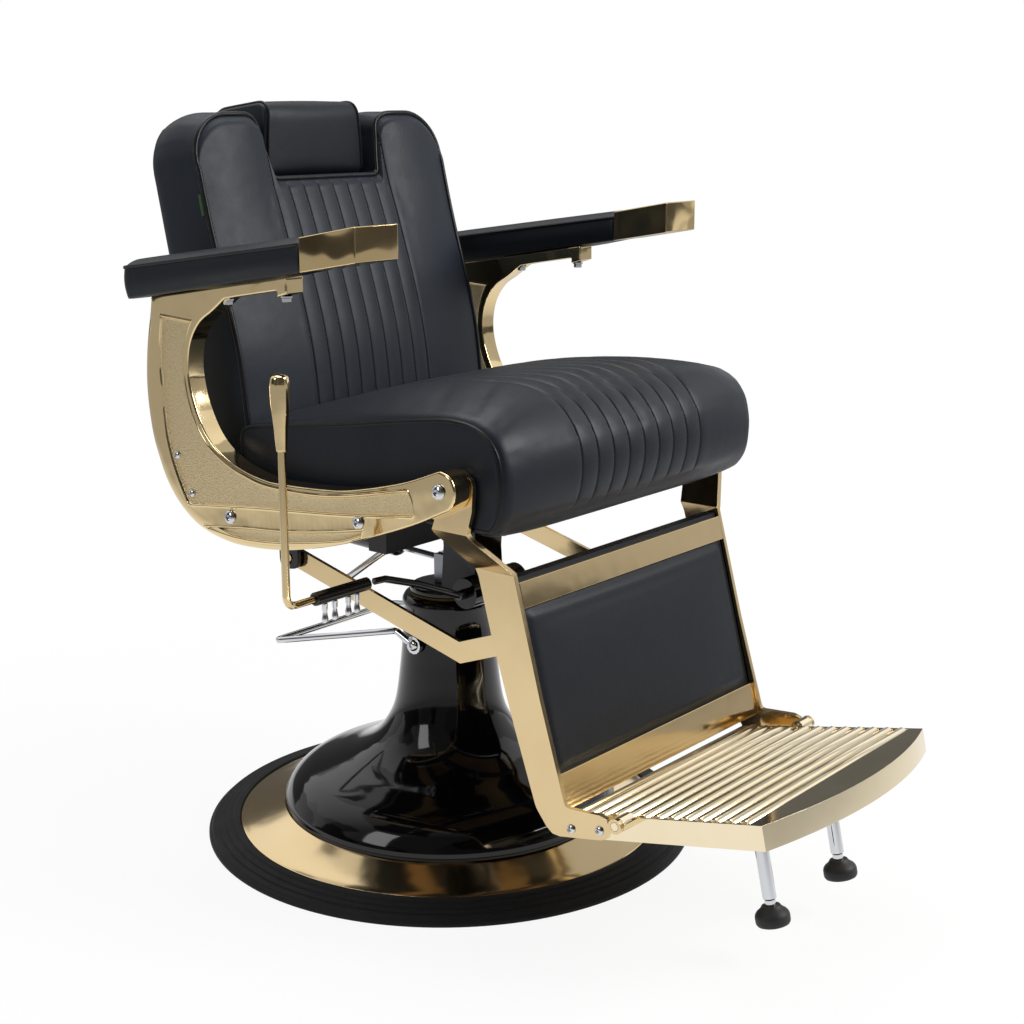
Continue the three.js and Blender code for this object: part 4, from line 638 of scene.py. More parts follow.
def swollen_moves(copy, before, held):
    """Moves of the copy's vertices after it swells under pressure; those where held is true stay."""
    copy.vertex_groups.new(name="held").add(np.flatnonzero(held(before)).tolist(), 1.0, "REPLACE")
    cloth = copy.modifiers.new("cloth", "CLOTH")
    cloth.settings.vertex_group_mass = "held"
    cloth.settings.use_pressure = True
    cloth.settings.uniform_pressure_force = PRESSURE
    cloth.settings.effector_weights.gravity = 0.0
    cloth.point_cache.frame_start, cloth.point_cache.frame_end = 1, LAST_FRAME
    for number in range(1, LAST_FRAME + 1):
        bpy.context.scene.frame_set(number)
    swollen = copy.evaluated_get(bpy.context.evaluated_depsgraph_get())
    move = coordinates(swollen.to_mesh()) - before
    swollen.to_mesh_clear()
    bpy.data.objects.remove(copy)
    bpy.context.scene.frame_set(1)
    return move


def swell(name, points, faces, held, cap, voxel=6.0):
    """Points moved by the mean of their nearest simulated moves, weighted by 1 / (distance + 1), each eased
    off towards the cap in millimetres as cap * tanh(move / cap)."""
    points = np.asarray(points, dtype=float)
    copy = foam_copy(name, points, faces, voxel)
    before = coordinates(copy.data)
    move = swollen_moves(copy, before, held)
    length = np.linalg.norm(move, axis=1, keepdims=True) + 1e-9
    move *= cap * np.tanh(length / cap) / length
    tree = KDTree(len(before))
    for number, place in enumerate(before.tolist()):
        tree.insert(place, number)
    tree.balance()
    out = np.zeros_like(points)
    for number, place in enumerate(points.tolist()):
        near = tree.find_n(place, NEIGHBOURS)
        weights = np.array([1 / (distance + 1) for _, _, distance in near])
        out[number] = weights @ move[[at for _, at, _ in near]] / weights.sum()
    print(name, "foam points", len(before), "longest move", round(float(length.max()), 1), "mm, kept",
          round(float(np.linalg.norm(out, axis=1).max()), 1))
    return points + out


print("cloth frames", LAST_FRAME, "simulated")

# %% [markdown]
# ## Sewn channels
# The channels are sewn through to the foam, so each seam bites in sharply and the vinyl puffs between two of
# them. The grid follows: its places across are dense beside each seam and wider between.

# %% Channels
CHANNELS, UNSEWN = 8, 9.0
SEAM_OFFSETS = np.array([0, 0.7, 1.5, 2.6, 4.2, 6.8, 10.0])


def seam_places(pitch):
    """Places of the seams across, even about the middle."""
    return (np.arange(CHANNELS + 1) - CHANNELS / 2) * pitch


def channel_stations(pitch, half, flank_step=8.0):
    """Places across a channelled panel: dense beside each seam, wider between, even on the flanks."""
    seams = seam_places(pitch)
    near = np.unique(np.round(np.concatenate([[s + SEAM_OFFSETS, s - SEAM_OFFSETS] for s in seams]).ravel(), 3))
    flank = np.concatenate([np.arange(seams[-1] + SEAM_OFFSETS[-1] + flank_step, half - 7, flank_step),
                            [half - 5, half - 2.5, half - 1, half]])
    return np.unique(np.round(np.concatenate([near, seams[:-1] + pitch / 2, flank, -flank]), 3))


def seam_distance(x, pitch):
    """Distance to the nearest of the channel seams."""
    return np.min(np.abs(x[..., None] - seam_places(pitch)), axis=-1)


def channel_relief(x, pitch, depth):
    """Height over the panel: a sharp and a broad bell curve down at each seam, and a sine squared puff."""
    d = seam_distance(x, pitch)
    puff = np.sin(np.pi * np.clip(d / pitch, 0, 0.5)) ** 2
    inside = smoothstep(CHANNELS / 2 * pitch + pitch, CHANNELS / 2 * pitch, np.abs(x))
    return -depth * (0.7 * np.exp(-(d / 1.2) ** 2) + 0.3 * np.exp(-(d / 4.5) ** 2)) + 0.5 * puff * inside


def sewn_data(distance, along, shown=1.0):
    """UV in metres, as distance from the seam and place along it, and the seam's painted shade, a bell curve whose
    top also marks the thread.
    """
    uv = np.stack([distance * MM, np.broadcast_to(along, distance.shape) * MM], -1)
    return uv.reshape(-1, 2), (np.exp(-(distance / 1.3) ** 2) * shown).ravel()


print("places across a seat:", len(channel_stations(30.0, 250.0)))

# %% [markdown]
# ## Seat cushion
# The seat is a foam block under a cover of three panels: a channelled panel that runs over the top and down
# the front, and two flat boxings, joined by piping. One closed profile, carried across the chair, gives the
# sewn panel; its height over the profile is a sum of a crown, a puff and a narrow groove at each seam.

# %% Seat profile
SEAT_HALF, SEAT_BOTTOM, SEAT_PITCH, SEAT_CROWN = 250.0, 487.3, 30.0, 25.0
SEAT_RING, SEAT_FOAM = 250, 7.0

seat_front = spline([(-30, 587), (-110, 599.5), (-180, 609), (-232, 613.5), (-270, 607), (-293, 588), (-302.5, 560),
                     (-303.5, 532), (-298, 506), (-286, 490), (-270, SEAT_BOTTOM)], 12)
seat_rear = rounded([(116, SEAT_BOTTOM, 14), (122, 563, 22), (-30, 587), (-270, SEAT_BOTTOM)])[:20]
seat_profile = spaced(np.concatenate([seat_rear, seat_front]), SEAT_RING)


def seat_surface(x, y, z, channels=1.0):
    """Seat point at station x for profile point (y, z): crown, puff and grooves along the outward direction.
    The crown is 1 - share^6 of the half width, and the last 3 percent are drawn in to the boxing."""
    outward = np.stack([y + 90, (z - 540) * 2.2], axis=-1)
    outward /= np.linalg.norm(outward, axis=-1, keepdims=True)
    share = np.abs(x) / SEAT_HALF
    crown = 1 - share ** 6
    drawn = np.maximum(share - 0.97, 0) * 230
    sewn = smoothstep(497, 522, z) * smoothstep(112, 96, y)
    relief = channels * channel_relief(x, SEAT_PITCH, 2.0)
    lift = sewn * (crown * SEAT_CROWN + relief) - drawn
    lip = 7 * crown * smoothstep(SEAT_BOTTOM + 6, SEAT_BOTTOM + 1, z) * smoothstep(-258, -268, y)
    side = sewn * (0.2 * crown * SEAT_CROWN + relief) - drawn
    return np.stack([x, y + outward[..., 0] * side, np.maximum(z + outward[..., 1] * lift, SEAT_BOTTOM) - lip], -1)


print("seat profile", len(seat_profile), "points")

# %% [markdown]
# The plain seat swells first, and the channels are pressed into the swollen grid. Then the boxings close it.

# %% Seat grid and boxings
def seat_held(p):
    """True low down, at the rear and beside the piping."""
    return (p[:, 2] < 505) | (p[:, 1] > 92) | (np.abs(p[:, 0]) > 242)


def boxing(edge, towards, bulge, shrink=(0.97, 0.9, 0.72, 0.5, 0.28, 0.1)):
    """Side panel as rings drawn in from the edge to its centre, bulging by the shares of bulge."""
    centre = edge.mean(axis=0)
    rings = []
    for s in shrink:
        ring = centre + (edge - centre) * s
        ring[:, 0] += towards * bulge * (1 - s ** 2)
        rings.append(ring)
    return np.array(rings)


stations = channel_stations(SEAT_PITCH, SEAT_HALF)
X, K = np.meshgrid(stations, np.arange(SEAT_RING), indexing="ij")
seat_plain = seat_surface(X, seat_profile[K, 0], seat_profile[K, 1], channels=0.0).reshape(-1, 3)
foam_move = swell("seat", seat_plain, ring_faces(len(stations), SEAT_RING), seat_held, SEAT_FOAM) - seat_plain
seat_points = seat_surface(X, seat_profile[K, 0], seat_profile[K, 1]) + foam_move.reshape(X.shape + (3,))
right_side, left_side = boxing(seat_points[0], -1, 0.8), boxing(seat_points[-1], 1, 0.8)
seat_rings = np.concatenate([right_side[::-1], seat_points, left_side])
print("seat grid", seat_rings.shape)

# %% [markdown]
# The thread shows along each seam, from the rear edge of the top to the foot of the front. The piping runs
# round each boxing, a little inside the edge, and leaves out the part that lies under the seat.

# %% Seat cover and piping
PROFILE_STEP = 5.05
PIPING_INSET, PIPING_OUT = 2.2, 1.6

blank = np.full((len(right_side), SEAT_RING), UNSEWN)
panel = np.repeat(seam_distance(stations, SEAT_PITCH)[:, None], SEAT_RING, axis=1)
above = np.concatenate([0 * blank, seat_points[..., 2] > 512, 0 * blank])
seat_uv, seat_seam_shade_and_thread = sewn_data(np.concatenate([blank, panel, blank]), np.arange(SEAT_RING) * PROFILE_STEP, above)
seat = piece("seat_cover", seat_rings.reshape(-1, 3), ring_faces(len(seat_rings), SEAT_RING), "seat",
             seat_leather, ["seat_cushion"], sharp=0, uv=seat_uv, seam=seat_seam_shade_and_thread)
for side, name in SIDES:
    edge = seat_points[0 if side < 0 else -1]
    shown = edge[edge[:, 2] > SEAT_BOTTOM + 6]
    start = int(np.argmax(np.linalg.norm(np.roll(shown, 1, axis=0) - shown, axis=1)))
    run = np.roll(shown, -start, axis=0)
    out = np.stack([np.zeros(len(run)), run[:, 1] + 90, (run[:, 2] - 540) * 2.2], -1) / 300
    run = run - np.array([side * PIPING_INSET, 0, 0]) + PIPING_OUT * out
    piping("seat_piping_" + name, run, 170, 2.9, 10, "seat", loop=False)
print("seat cover", seat_rings.shape, "faces", len(seat.data.polygons))

# %% [markdown]
# ## Back cushion
# The back is a slab whose front panel has two plain bolsters and eight channels between them, sunk towards
# the notch that holds the headrest. Its front outline, shoulders and notch together, can be read as one height
# over each place across, because the notch widens upwards. So the front is a grid: across the chair one way
# and from the bottom to that height the other way. The rear is the same grid, drawn in, and the boxing joins
# the two round the edge.

# %% Back outline
LEAN = math.radians(12.4)
BACK_Y, BACK_Z = 125, 507
BACK_HALF, BACK_TOP, BACK_THICK, BACK_PITCH = 222.0, 438.0, 98.0, 26.4
REAR_INSET = 20


def on_back(x, behind, up):
    """Millimetre point x across, behind the front face and up the leaning back."""
    return np.stack([x + 0 * up, BACK_Y + behind * math.cos(LEAN) + up * math.sin(LEAN),
                     BACK_Z - behind * math.sin(LEAN) + up * math.cos(LEAN)], -1)


def back_top_line(half, top, shoulder, floor, tuck):
    """Half of the top outline as (x, height): notch floor, flared wall, mouth rounding, shoulder."""
    angle = np.linspace(0, np.pi / 2, 22)
    round_end = np.stack([half - shoulder + shoulder * np.sin(angle), top - shoulder + shoulder * np.cos(angle)], -1)
    wall = spaced([(98 + tuck, floor + 11), (106 + tuck, top - 28)], 12, loop=False)
    foot = arc((86 + tuck, floor), (98 + tuck, floor), (98 + tuck, floor + 11), 9)
    mouth = arc((106 + tuck, top - 28), (106 + tuck, top), (132 + tuck, top), 9)
    return np.concatenate([[(0, floor)], foot, wall[1:-1], mouth, round_end])


front_line = back_top_line(BACK_HALF, BACK_TOP, 58, 356, 0)
rear_line = back_top_line(BACK_HALF - REAR_INSET, BACK_TOP - 12, 50, 362, 5)
back_x = np.unique(np.round(np.concatenate([channel_stations(BACK_PITCH, BACK_HALF - 1, 9.0), front_line[:, 0],
                                            -front_line[:, 0]]), 2))
back_x = back_x[np.concatenate([[True], np.diff(back_x) > 0.25])]
print("back places across", len(back_x))

# %% [markdown]
# The front face is pushed in and out along the thickness: the lumbar swell, the sunk panel below the notch,
# soft edges, the channels and a slight bulge of the bolsters.

# %% Back grids
ROWS = 96
share_up = np.linspace(0, 1, ROWS)


def back_grid(x, line, low, corner, half):
    """Heights of the grid over each x: from the rounded bottom line to the top outline."""
    top = np.interp(np.abs(x), line[:, 0], line[:, 1])
    rest = np.clip((np.abs(x) - (half - corner)) / corner, 0, 1)
    bottom = low + corner * (1 - np.sqrt(np.maximum(1 - rest ** 2, 0)))
    return bottom[:, None] + (top - bottom)[:, None] * share_up[None, :]


def lumbar(up):
    """Front face's line: a swell of 12 mm at the small of the back, eased out above and below."""
    line = spline([(0, 0), (70, -6.5), (140, -12), (205, -9.5), (265, -4.5), (325, -1.2), (390, 0), (460, 0)], 12)
    return np.interp(up, line[:, 0], line[:, 1])


up = back_grid(back_x, front_line, 2, 14, BACK_HALF)
XB = np.broadcast_to(back_x[:, None], up.shape)
sunk = 6 * np.clip((up - 150) / 206, 0, 1.1) ** 1.5 * smoothstep(140, 98, np.abs(XB))
edge_x = 1 - np.minimum((np.abs(XB) / BACK_HALF) ** 8, 1)
soft_edge = np.minimum(smoothstep(0, 14, up - up[:, :1]), smoothstep(0, 14, up[:, -1:] - up))
relief = channel_relief(XB, BACK_PITCH, 1.7) * smoothstep(118, 110, np.abs(XB))
bolster = 0.8 * smoothstep(108, 140, np.abs(XB)) * smoothstep(222, 185, np.abs(XB)) * smoothstep(180, 330, up)
behind = lumbar(up) + sunk - (6 * edge_x + relief + bolster) * soft_edge + 2.5 * (1 - soft_edge)
x_rear = back_x * (BACK_HALF - REAR_INSET) / BACK_HALF
up_rear = back_grid(x_rear, rear_line, 18, 14, BACK_HALF - REAR_INSET)
XR = np.broadcast_to(x_rear[:, None], up_rear.shape)
behind_rear = BACK_THICK - 14 * smoothstep(70, 10, up_rear) + 3 * (1 - (XR / BACK_HALF) ** 4)
back_rear = on_back(XR, behind_rear, up_rear)
print("back cover grid", up.shape)

# %% [markdown]
# The boxing goes straight back from the front edge and then turns in to the rear panel. It puffs a little, most
# over the shoulders.

# %% Boxing of the back
STRIP_TURN = 0.62


def perimeter(index):
    """Numbers round the edge of a grid, in order."""
    return np.concatenate([index[:, 0], index[-1, 1:], index[-2::-1, -1], index[0, -2:0:-1]])


def slab(front, rear, rows):
    """Closed slab: front grid, rear grid and the rows of points between their edges; returns points and faces."""
    n, m = front.shape[:2]
    front_index = np.arange(n * m).reshape(n, m)
    edge = perimeter(front_index)
    between = 2 * n * m + np.arange(len(rows) * len(edge)).reshape(len(rows), len(edge))
    strip = np.concatenate([edge[None], between, (edge + n * m)[None]])
    faces = np.concatenate([quads(front_index), quads(front_index + n * m)[:, ::-1], quads(closed(strip, 1))])
    points = np.concatenate([front.reshape(-1, 3), rear.reshape(-1, 3), np.asarray(rows).reshape(-1, 3)])
    return points, faces.tolist()


grid_edge = perimeter(np.arange(up.size).reshape(up.shape))
edge_front = np.stack([XB.ravel(), behind.ravel(), up.ravel()], -1)[grid_edge]
edge_rear = np.stack([XR.ravel(), behind_rear.ravel(), up_rear.ravel()], -1)[grid_edge]
pace = np.linalg.norm(np.gradient(edge_front[:, [0, 2]], axis=0), axis=1) + 1e-9
topness = smoothstep(-0.2, 0.9, -np.gradient(edge_front[:, 0]) / pace)
strip_rows = []
for s in np.linspace(0, 1, 17)[1:-1]:
    turn = max(s - STRIP_TURN, 0) / (1 - STRIP_TURN) * np.pi / 2
    inward = 1 - math.cos(turn)
    depth = s / STRIP_TURN * 0.78 if s < STRIP_TURN else 0.78 + 0.22 * math.sin(turn)
    puff = math.sin(np.pi * min(s / 0.9, 1))
    row = edge_front + (edge_rear - edge_front) * np.array([inward, depth, inward])
    row[:, 2] += 12 * puff ** 1.3 * topness * (edge_front[:, 2] > 372)
    row[:, 0] += np.sign(edge_front[:, 0]) * 2.5 * puff * (np.abs(edge_front[:, 0]) > 200)
    strip_rows.append(on_back(*row.T))
points, faces = slab(on_back(XB, behind, up), back_rear, strip_rows)
print("back points", len(points))

# %% [markdown]
# The back's foam is held at the rear, along the sewn edges and round the notch. It swells without channels, and
# the channelled cover takes over its moves.

# %% Back cover and piping
BACK_FOAM, PANEL_EDGE = 4.0, 118


def back_held(p):
    """True at the rear, along the sewn edges and round the notch, by the place on the leaning back."""
    far = (p[:, 1] - BACK_Y) * math.cos(LEAN) - (p[:, 2] - BACK_Z) * math.sin(LEAN)
    high = (p[:, 1] - BACK_Y) * math.sin(LEAN) + (p[:, 2] - BACK_Z) * math.cos(LEAN)
    across = np.abs(p[:, 0])
    shoulder = (across > 164) & (high > 380) & (np.hypot(across - 164, high - 380) > 48)
    return (far > 45) | (across > 212) | (high < 14) | (high > 426) | shoulder | ((across < 122) & (high > 344))


plain_points, plain_faces = slab(on_back(XB, behind + relief * soft_edge, up), back_rear, strip_rows)
points = points + (swell("back", plain_points, plain_faces, back_held, BACK_FOAM) - plain_points)
flank = smoothstep(PANEL_EDGE, PANEL_EDGE + 1, np.abs(XB))
near_seam = seam_distance(XB, BACK_PITCH) * (1 - flank) + UNSEWN * flank
others = np.zeros(len(points) - up.size)
distance = np.concatenate([near_seam.ravel(), others + UNSEWN])
back_uv, back_seam_shade_and_thread = sewn_data(distance, np.concatenate([up.ravel(), others]),
                               np.concatenate([np.ones(up.size), others]))
piece("back_cover", points, faces, "back", back_leather_lit_copy, ["back_cushion"], sharp=0,
      uv=back_uv, seam=back_seam_shade_and_thread)
piping("back_piping", on_back(edge_front[:, 0], edge_front[:, 1] + 0.6, edge_front[:, 2]), 420, 3.6, 10, "back")
print("back cover points", len(points))

# %% [markdown]
# ## Headrest
# A small pillow on two stems, wedge-shaped from the side and narrower at its top. It is one section carried
# across, which shrinks near each end as a quarter circle does, so that the end panels meet it in a soft edge.

# %% Headrest
HEAD_RING, HEAD_RINGS = 96, 45
head_section = spaced(rounded([(26, 0, 12), (7, 90, 20), (121, 100, 24), (113, 2, 14)]), HEAD_RING)


def headrest_ring(share):
    """Section at share -1 to 1 across: tapered half width, shrunk near the ends, crowned in the middle."""
    t = max(abs(share) - 0.86, 0) / 0.14
    keep = 1 - 0.10 * (1 - math.sqrt(max(1 - t * t, 0)))
    centre = np.array([66.0, 49.0])
    crown = 1 + 0.035 * (1 - share ** 2)
    behind, high = ((head_section - centre) * np.array([keep * crown, keep]) + centre).T
    half = 92 - 9 * (high / 98) ** 2
    return on_back(share * half, behind, 362.0 + high * 1.055)


shares = np.sin(np.linspace(-np.pi / 2, np.pi / 2, HEAD_RINGS))
head_rings = np.array([headrest_ring(s) for s in shares])
head_rings = np.concatenate([boxing(head_rings[0], -1, 2.5)[::-1], head_rings, boxing(head_rings[-1], 1, 2.5)])
head_faces = ring_faces(len(head_rings), HEAD_RING)
head_points = swell("headrest", head_rings.reshape(-1, 3), head_faces, lambda p: np.abs(p[:, 0]) > 78, 3.0, 5.0)
piece("headrest_cover", head_points, head_faces, "headrest", pad_leather_shaded_copy, ["headrest_cushion"], sharp=0)
for side, name in SIDES:
    piping("headrest_piping_" + name, headrest_ring(side * 0.93), 90, 2.2, 8, "headrest")
print("headrest rings", len(head_rings))

# %% [markdown]
# ## Arm pads
# Each pad is a long soft bar, boxed like a small cushion: a crowned top panel, a boxing with piping along its
# top edge, and a base that sits on the casting. Its rear end is rounded in plan, and its front end meets the
# metal hand cap squarely.

# %% Shape of an arm pad
PAD_MIDDLE, PAD_REAR, PAD_FRONT = 290.0, 241, -74


def between(y, y0, z0, y1, z1):
    """Height at y on the straight line between two points."""
    return z0 + (y - y0) * (z1 - z0) / (y1 - y0)


def pad_top(y):
    """Height of the piped edge at y."""
    return between(y, PAD_REAR, 761, PAD_FRONT, 805.5) - 7


def pad_seat(y):
    """Height of the line on which the pad rests."""
    return between(y, PAD_REAR, 715, PAD_FRONT, 767)


def arm_pad(side):
    """Top and bottom grids over the same plan, and a boxing between them that swells by 3.2 mm."""
    along_rear = 16 * (1 - np.cos(np.linspace(0, np.pi / 2, 12)))
    y = PAD_REAR - np.concatenate([along_rear, np.linspace(20, 309, 56), [311.6, 313.6, 314.6]])
    rear = np.clip((y - 225) / 16, 0, 1)
    front = np.clip((-69 - y) / 5, 0, 1)
    half = 32 - 16 * (1 - np.sqrt(1 - rear ** 2)) - 2.5 * (1 - np.sqrt(np.maximum(1 - front ** 2, 0)))
    Y, S = np.meshgrid(y, np.sin(np.linspace(-np.pi / 2, np.pi / 2, 25)), indexing="ij")
    end = np.minimum(smoothstep(PAD_REAR, 232, Y), smoothstep(PAD_FRONT, -68, Y))
    top = pad_top(Y) + 8.5 * (1 - np.abs(S) ** 2.6) * (0.3 + 0.7 * end)
    upper = np.stack([side * (PAD_MIDDLE + half[:, None] * S), Y, top], -1)
    lower = np.stack([side * (PAD_MIDDLE + (half[:, None] - 3) * S), np.clip(Y, -71, 238), pad_seat(Y) + 0.3], -1)
    edge = perimeter(np.arange(Y.size).reshape(Y.shape))
    a, b = upper.reshape(-1, 3)[edge], lower.reshape(-1, 3)[edge]
    outwards = np.stack([a[:, 0] - side * PAD_MIDDLE, np.where(a[:, 1] > 236, 8.0, 0.0), 0 * a[:, 0]], -1)
    outwards /= np.linalg.norm(outwards, axis=1, keepdims=True) + 1e-9
    rows = [a + (b - a) * s + outwards * 3.2 * math.sin(np.pi * s) ** 0.8 for s in np.linspace(0, 1, 17)[1:-1]]
    return *slab(upper, lower, rows), a


print("arm pad length", PAD_REAR - PAD_FRONT, "mm")

# %% [markdown]
# The pad's foam is held at its base, at the hand cap and along the piped edge.

# %% Arm pads
PAD_FOAM = 4.0


def arm_pad_held(p):
    """True at the base, at the hand cap and along the piped top edge."""
    top_edge = pad_top(p[:, 1])
    rim_near = (np.abs(np.abs(p[:, 0]) - PAD_MIDDLE) > 27) | (p[:, 1] > 234)
    return (p[:, 2] < top_edge - 36) | (p[:, 1] < -64) | (rim_near & (np.abs(p[:, 2] - top_edge) < 3.5))


for side, name in SIDES:
    points, faces, rim = arm_pad(side)
    points = swell("armrest_" + name, points, faces, arm_pad_held, PAD_FOAM, 5.0)
    piece("armrest_pad_" + name, points, faces, "seat", pad_leather_shaded_copy, ["arm_pad_" + name], sharp=0)
    piping("armrest_piping_" + name, rim + np.array([0, 0, -0.6]), 240, 2.4, 8, "seat")
    print("arm pad", name, "points", len(points))

# %% [markdown]
# ## Calf panel
# A padded board between the two leg plates, held behind a bar at its top and another at its foot. It swells
# a few millimetres proud of the bars, and flattens where they clamp it.

# %% Calf panel
CALF_HALF, CALF_LOW, CALF_HIGH, CALF_FOAM = 203.0, 188, 432, 3.0


def calf_front(z):
    """Front line of the leg plates in the side view."""
    return between(z, 437, -285, 178, -355)


def calf_held(p):
    """True under the bars, beside the leg plates and at the board."""
    return (p[:, 2] < 228) | (p[:, 2] > 386) | (np.abs(p[:, 0]) > 190) | (p[:, 1] > calf_front(p[:, 2]) + 8)


XC, ZC = np.meshgrid(CALF_HALF * np.sin(np.linspace(-np.pi / 2, np.pi / 2, 60)), np.linspace(CALF_LOW, CALF_HIGH, 70),
                     indexing="ij")
clear = smoothstep(214.6, 226, ZC) * smoothstep(398.4, 387, ZC) * smoothstep(CALF_HALF, 190, np.abs(XC))
swelling = clear * (3.5 + 3.5 * (1 - (np.abs(XC) / CALF_HALF) ** 3))
pad_front = np.stack([XC, calf_front(ZC) + 5.3 - swelling, ZC], -1)
pad_rear = np.stack([XC, calf_front(ZC) + 18, ZC], -1)
edge = perimeter(np.arange(XC.size).reshape(XC.shape))
a, b = pad_front.reshape(-1, 3)[edge], pad_rear.reshape(-1, 3)[edge]
points, faces = slab(pad_front, pad_rear, [a + (b - a) * s for s in (0.2, 0.5, 0.8)])
points = swell("calf", points, faces, calf_held, CALF_FOAM)
piece("calf_cover", points, faces, "legrest", pad_leather_shaded_copy, ["calf_pad"], sharp=50)
print("calf panel points", len(points))

# %% [markdown]
# ## Turned parts
# Round parts are shapes of revolution: a closed profile of radius and height, carried round an axis. The CAD
# holds the same profiles with fewer facets.

# %% Lathe
def lathe(profile, centre=(0, 0), sides=96, axis="z"):
    """Profile of (radius, height) round an axis; a profile that starts and ends at radius 0 closes at its poles."""
    profile = np.array(profile, dtype=float)
    poles = profile[0, 0] < 1e-6 and profile[-1, 0] < 1e-6
    if poles:
        profile[[0, -1], 0] = 1e-3 * profile[:, 0].max()
    angle = np.linspace(0, 2 * np.pi, sides, endpoint=False)
    r, h = profile[:, :1], profile[:, 1:]
    ring = np.stack([r * np.cos(angle), r * np.sin(angle), h + 0 * angle], -1)
    ring = ring[..., [2, 0, 1]] + np.array([0, *centre]) if axis == "x" else ring + np.array([*centre, 0])
    if poles:
        return ring.reshape(-1, 3), ring_faces(len(profile), sides)
    index = np.arange(len(profile) * sides).reshape(len(profile), sides)
    return ring.reshape(-1, 3), quads(closed(closed(index, 1), 0)).tolist()


def turned(name, profile, sides, body, material, replaces=(), sharp=35, centre=(0, 0)):
    """Upright turned piece of the chair."""
    points, faces = lathe(profile, centre, sides)
    piece(name, points, faces, body, material, replaces, sharp)


print("lathe points for a 3-point profile", len(lathe([(1, 0), (2, 0), (2, 1)])[0]))

# %% [markdown]
# ## Pedestal
# The pedestal is a trumpet-shaped casting, turned and enamelled; a dished ring of plated sheet lies round its
# foot, and a moulded rubber rim with four steps protects the floor and the sitter's shoes.

# %% Pedestal
SKIRT_FOOT, SKIRT_NECK = 223.0, 60
RIM_STEPS, RIM_STEP, RIM_DROP = 4, 9.0, 3.0

flare = spline([(SKIRT_NECK + s * (SKIRT_FOOT - SKIRT_NECK), z) for s, z in
                [(1.0, 40), (0.985, 50), (0.92, 66), (0.8, 80), (0.61, 92), (0.417, 104), (0.258, 121),
                 (0.147, 144), (0.075, 173), (0.03, 225), (0.0, 280)]], 8)
skirt_profile = [(218, 8.3), (222.4, 8.3), (223, 9.5), (223, 33), (222.6, 37), *flare,
                 (60, 306), (61.2, 308), (61.2, 313), (60, 315.5), (57.5, 319.4), (56, 320), (47, 320), (47, 266),
                 (55, 262), (60, 200), (75, 143), (97, 112), (141, 88), (211, 50), (218, 40)]
turned("pedestal_casting", skirt_profile, 160, "base", enamel, ["pedestal_skirt"], 38)

trim_profile = [(283, 8.3), (283, 16.6), (282.3, 18.0), (281, 18.6), (272, 20.6), (258, 24.5), (243, 29.2),
                (231, 33.2), (225, 35.4), (223.3, 36.0), (223.3, 33.0), (240, 27.0), (262, 19.6), (278, 15.5),
                (280, 13.0), (280, 8.3)]
turned("trim_plate", trim_profile, 192, "base", gold_plate, ["trim_ring"], 45)

rim_profile = [(283.3, 8.3), (283.3, 18.4), (284.2, 19.5)]
for step in range(RIM_STEPS):
    start, level = 285.5 + RIM_STEP * step, 19.5 - RIM_DROP * step
    rim_profile += [(start, level), (start + 6.2, level - 0.35), (start + 7.2, level - 1.1),
                    (start + 7.8, level - 2.2), (start + 8.2, level - 2.9)]
rim_profile += [(322.4, 6.6), (324.2, 5.2), (325, 3.4), (325, 0.6), (324.4, 0), (300.3, 0), (300.3, 8.3)]
turned("rubber_rim", rim_profile, 192, "base", rubber, ["bumper_ring"])
print("pedestal profiles", len(skirt_profile), len(trim_profile), len(rim_profile))

# %% [markdown]
# ## Bevelled metal
# Flat bars, plates and small castings owe their look to their edges: even a sharp corner is broken by a
# millimetre, and that strip catches a bright line. The CAD solids have the right shapes with bare corners. So
# each becomes a merged copy whose flat facets are joined again, whose real corners are bevelled, and whose
# round sides are shaded smooth.

# %% Bevelled copies of CAD parts
MERGE, FLAT_ANGLE, SHORTEST = 2e-5, 1.2, 1e-4
BODIES = frame["record"]["behaviour"]["bodies"]


def evened(made):
    """Give an object normals weighted by the area of its faces, so that large flats look flat."""
    made.modifiers.new("even_normals", "WEIGHTED_NORMAL").keep_sharp = True


def finished(node, name, material, bevel, angle):
    """Merged copy of a CAD node, with corners above this angle rounded by bevel millimetres."""
    work = bmesh.new()
    work.from_mesh(frame["nodes"][node].data)
    bmesh.ops.remove_doubles(work, verts=work.verts, dist=MERGE)
    bmesh.ops.dissolve_limit(work, angle_limit=math.radians(FLAT_ANGLE), verts=work.verts, edges=work.edges)
    if bevel:
        corners = [edge for edge in work.edges if edge.is_manifold
                   and edge.calc_face_angle(0) > math.radians(angle) and edge.calc_length() > SHORTEST]
        bmesh.ops.bevel(work, geom=corners, offset=bevel * MM, offset_type="OFFSET", segments=2, profile=0.5,
                        affect="EDGES", clamp_overlap=True)
        bmesh.ops.remove_doubles(work, verts=work.verts, dist=MERGE / 10)
    bmesh.ops.triangulate(work, faces=[face for face in work.faces if len(face.verts) > 4])
    mesh = bpy.data.meshes.new(name)
    work.to_mesh(mesh)
    work.free()
    mesh.materials.clear()
    mesh.materials.append(material)
    body = next(body for body, nodes in BODIES.items() if node in nodes)
    evened(hung(name, mesh, body, [node], sharp=42))


